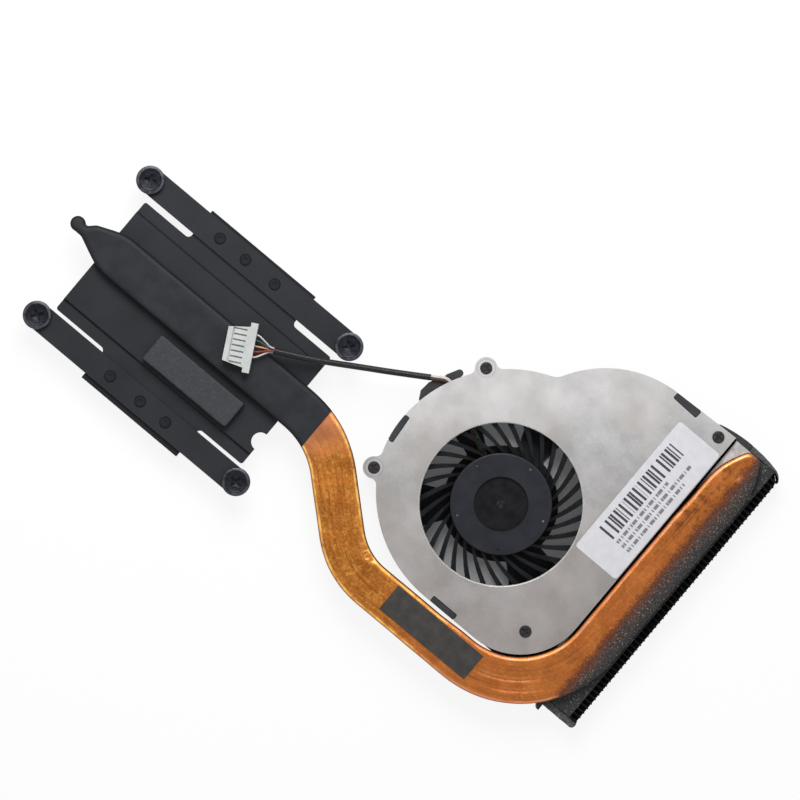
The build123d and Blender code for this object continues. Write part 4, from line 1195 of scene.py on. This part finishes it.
# %% Print on the label
# Places on the label are in millimetres. A row of dashes has its place across and its end along.
print_start, bar_end, bar_across = 6.5, 31.0, (1.5, 5.6)
dash_rows, dash_height = ((6.4, 24.0), (7.9, 30.0), (9.4, 26.0)), 0.75
bar_pitches, bar_level = (0.93, 1.61), 0.05
dash_pitches, dash_level, dash_share = (0.8, 2.9), -0.35, 0.75


def band(value, start, end):
    """One inside a stretch given in millimetres, zero outside it."""
    above = calc("GREATER_THAN", value, start * MM)
    return calc("MULTIPLY", above, calc("LESS_THAN", value, end * MM))


def stripes(value, pitches, level):
    """Uneven bars from two waves whose lengths don't share a factor."""
    both = calc("ADD", *[waves(value, pitch) for pitch in pitches])
    return calc("GREATER_THAN", both, level)


def label_ink(across, along):
    """Share of ink: a strip of bars, and rows of paler dashes beside it."""
    area = calc("MULTIPLY", band(across, *bar_across), band(along, print_start, bar_end))
    ink = calc("MULTIPLY", area, stripes(along, bar_pitches, bar_level))
    dashes = calc("MULTIPLY", stripes(along, dash_pitches, dash_level), dash_share)
    for row, end in dash_rows:
        line = calc("MULTIPLY", band(across, row, row + dash_height), band(along, print_start, end))
        ink = calc("MAXIMUM", ink, calc("MULTIPLY", line, dashes))
    return ink


print("label with bars and", len(dash_rows), "rows of dashes")

# %% Label finish
paper_dark, paper_light, ink_colour = rgb(202, 202, 207), rgb(210, 210, 215), rgb(62, 62, 66)


def label_finish():
    """Pale paper with its print."""
    material, shader, place = new_finish("pale_label", rgb(206, 206, 211), 0.5, gloss=0.3)
    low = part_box("cover_label")[0]
    x, y, _ = parts(place)
    ink = label_ink(calc("SUBTRACT", x, low.x), calc("SUBTRACT", y, low.y))
    paper = mix(ramp(noise(place, 500.0), *wide), paper_dark, paper_light)
    fibres = noise(place, 4000.0)
    wire(shader, mix(ink, paper, ink_colour), ramp(fibres, *wide, 0.45, 0.58))
    bumped(shader, fibres, 0.004)
    return material


dress(label_finish(), nodes["cover_label"])
print("label printed")

# %% [markdown]
# ## Cable and connector
# The sleeve is soft black tubing with fine wrinkles that catch the light. Each lead has its own
# coloured insulation, and the connector is natural white nylon, which lets a little light into it.

# %% Cable finishes
lead_colours = {
    "lead_white": (200, 202, 202), "lead_green": (44, 64, 54), "lead_orange": (200, 150, 108),
    "lead_red": (136, 54, 50), "lead_pink": (206, 190, 184),
}
lead_shade = 0.86

for name, colour in lead_colours.items():
    darker = rgb(*[lead_shade * value for value in colour])
    insulation = plain_finish(name, darker, rgb(*colour), (0.35, 0.5), gloss=0.3, patch=2.0,
                              grain=0.15, relief=0.005)
    dress(insulation, nodes[name])
# The sleeve's sides get a painted shade.
tubing = plain_finish("sleeve_tubing", rgb(9, 9, 12), rgb(24, 24, 29), (0.32, 0.48), gloss=0.3,
                      patch=1.6, grain=0.35, relief=0.09, sides=rgb(5, 5, 7))
dress(tubing, sleeve)
print("cable done,", len(lead_colours), "coloured leads")

# %% Connector finish
nylon_glow, nylon_depth = 0.15, 0.6

nylon = plain_finish("white_nylon", rgb(180, 183, 181), rgb(194, 197, 195), (0.38, 0.5), gloss=0.3,
                     patch=2.5, grain=0.25, relief=0.006)
nylon_shader = nylon.node_tree.nodes["Principled BSDF"]
nylon_shader.inputs["Subsurface Weight"].default_value = nylon_glow
nylon_shader.inputs["Subsurface Radius"].default_value = mm(nylon_depth, nylon_depth, nylon_depth)
dress(nylon, nodes["connector_housing"])
print("connector done")

# %% [markdown]
# ## Floor, world and lamps
# The part lies on plain white paper. The paper glows white to the camera and still takes a weak
# shadow. Below the fan and its duct it hardly glows, so the openings there stay dim. The sky is
# dimmer straight above than around, as in a light tent with a hole for the camera: flat tops stay
# calm and rounded edges shine. The main lamp stands near, towards the top of the picture, and a
# weak one opposite to it.

# %% Floor
floor_white = (0.92, 0.92, 0.92, 1)
floor_size = 4
floor_share, fan_share = 0.88, 0.05
fan_shade = mm(25, 27)
duct_x, duct_y = mm(86, 120), mm(-10, 57)
duct_fade = 1 * MM


def floor_finish():
    """White paper that glows to the camera, except below the fan and its duct."""
    material, shader, place = new_finish("white_paper", floor_white, 0.9, gloss=0.2)
    tree = material.node_tree
    path = new_node(tree, "LightPath").outputs
    seen = calc("MAXIMUM", path["Is Camera Ray"],
                calc("MAXIMUM", path["Is Glossy Ray"], path["Is Transmission Ray"]))
    x, y, _ = parts(place)
    past_fan = ramp(from_spot(place, fan_axis), *fan_shade)
    past_duct = calc("MAXIMUM", beyond(x, *duct_x), beyond(y, *duct_y))
    outside = calc("MULTIPLY", past_fan, ramp(past_duct, 0.0, duct_fade))
    share = calc("MULTIPLY", seen, ramp(outside, 0.0, 1.0, fan_share, floor_share))
    white = new_node(tree, "Emission").outputs[0]
    both = add("MixShader", {0: share, 1: shader.outputs[0], 2: white}).outputs[0]
    tree.links.new(both, tree.nodes["Material Output"].inputs["Surface"])
    return material


fresh_start()
bpy.ops.mesh.primitive_plane_add(size=floor_size,
                                 location=(picture_middle.x, picture_middle.y, cad_box[0].z))
floor = settle(bpy.context.object, "paper_floor")
dress(floor_finish(), floor)
print("floor at", round(cad_box[0].z / MM, 2), "mm")

# %% World
world_level = 0.42
sky_above, sky_around = 0.52, 1.2
sky_heights = (0.45, 0.95)

world = bpy.data.worlds.new("studio")
bpy.context.scene.world = world
world.use_nodes = True
tree = world.node_tree
path = new_node(tree, "LightPath").outputs
height = parts(new_node(tree, "TexCoord").outputs["Generated"])[2]
mirrored = ramp(height, *sky_heights, sky_around, sky_above)
shine = calc("MAXIMUM", path["Is Glossy Ray"], path["Is Transmission Ray"])
level = blend((shine, mirrored), (calc("SUBTRACT", 1.0, shine), world_level))
strength = calc("MAXIMUM", level, path["Is Camera Ray"])
tree.links.new(strength, tree.nodes["Background"].inputs["Strength"])
tree.nodes["Background"].inputs["Color"].default_value = (1, 1, 1, 1)
print("world level", world_level)

# %% Lamps
key_place, key_size, key_power = (-0.15, 0.18, 0.27), 0.22, 1.4
fill_place, fill_size, fill_power = (0.42, -0.22, 0.5), 0.6, 0.3


def lamp(name, place, size, power):
    """Square area lamp that looks at the middle of the picture."""
    data = bpy.data.lights.new(name, "AREA")
    data.size = size
    data.energy = power
    made = new_object(name, data)
    made.location = picture_middle + Vector(place)
    made.rotation_euler = (-Vector(place)).to_track_quat("-Z", "Y").to_euler()


lamp("key", key_place, key_size, key_power)
lamp("fill", fill_place, fill_size, fill_power)
bpy.context.scene.view_settings.view_transform = "Standard"
print("lamps of", key_power, "and", fill_power, "watts")
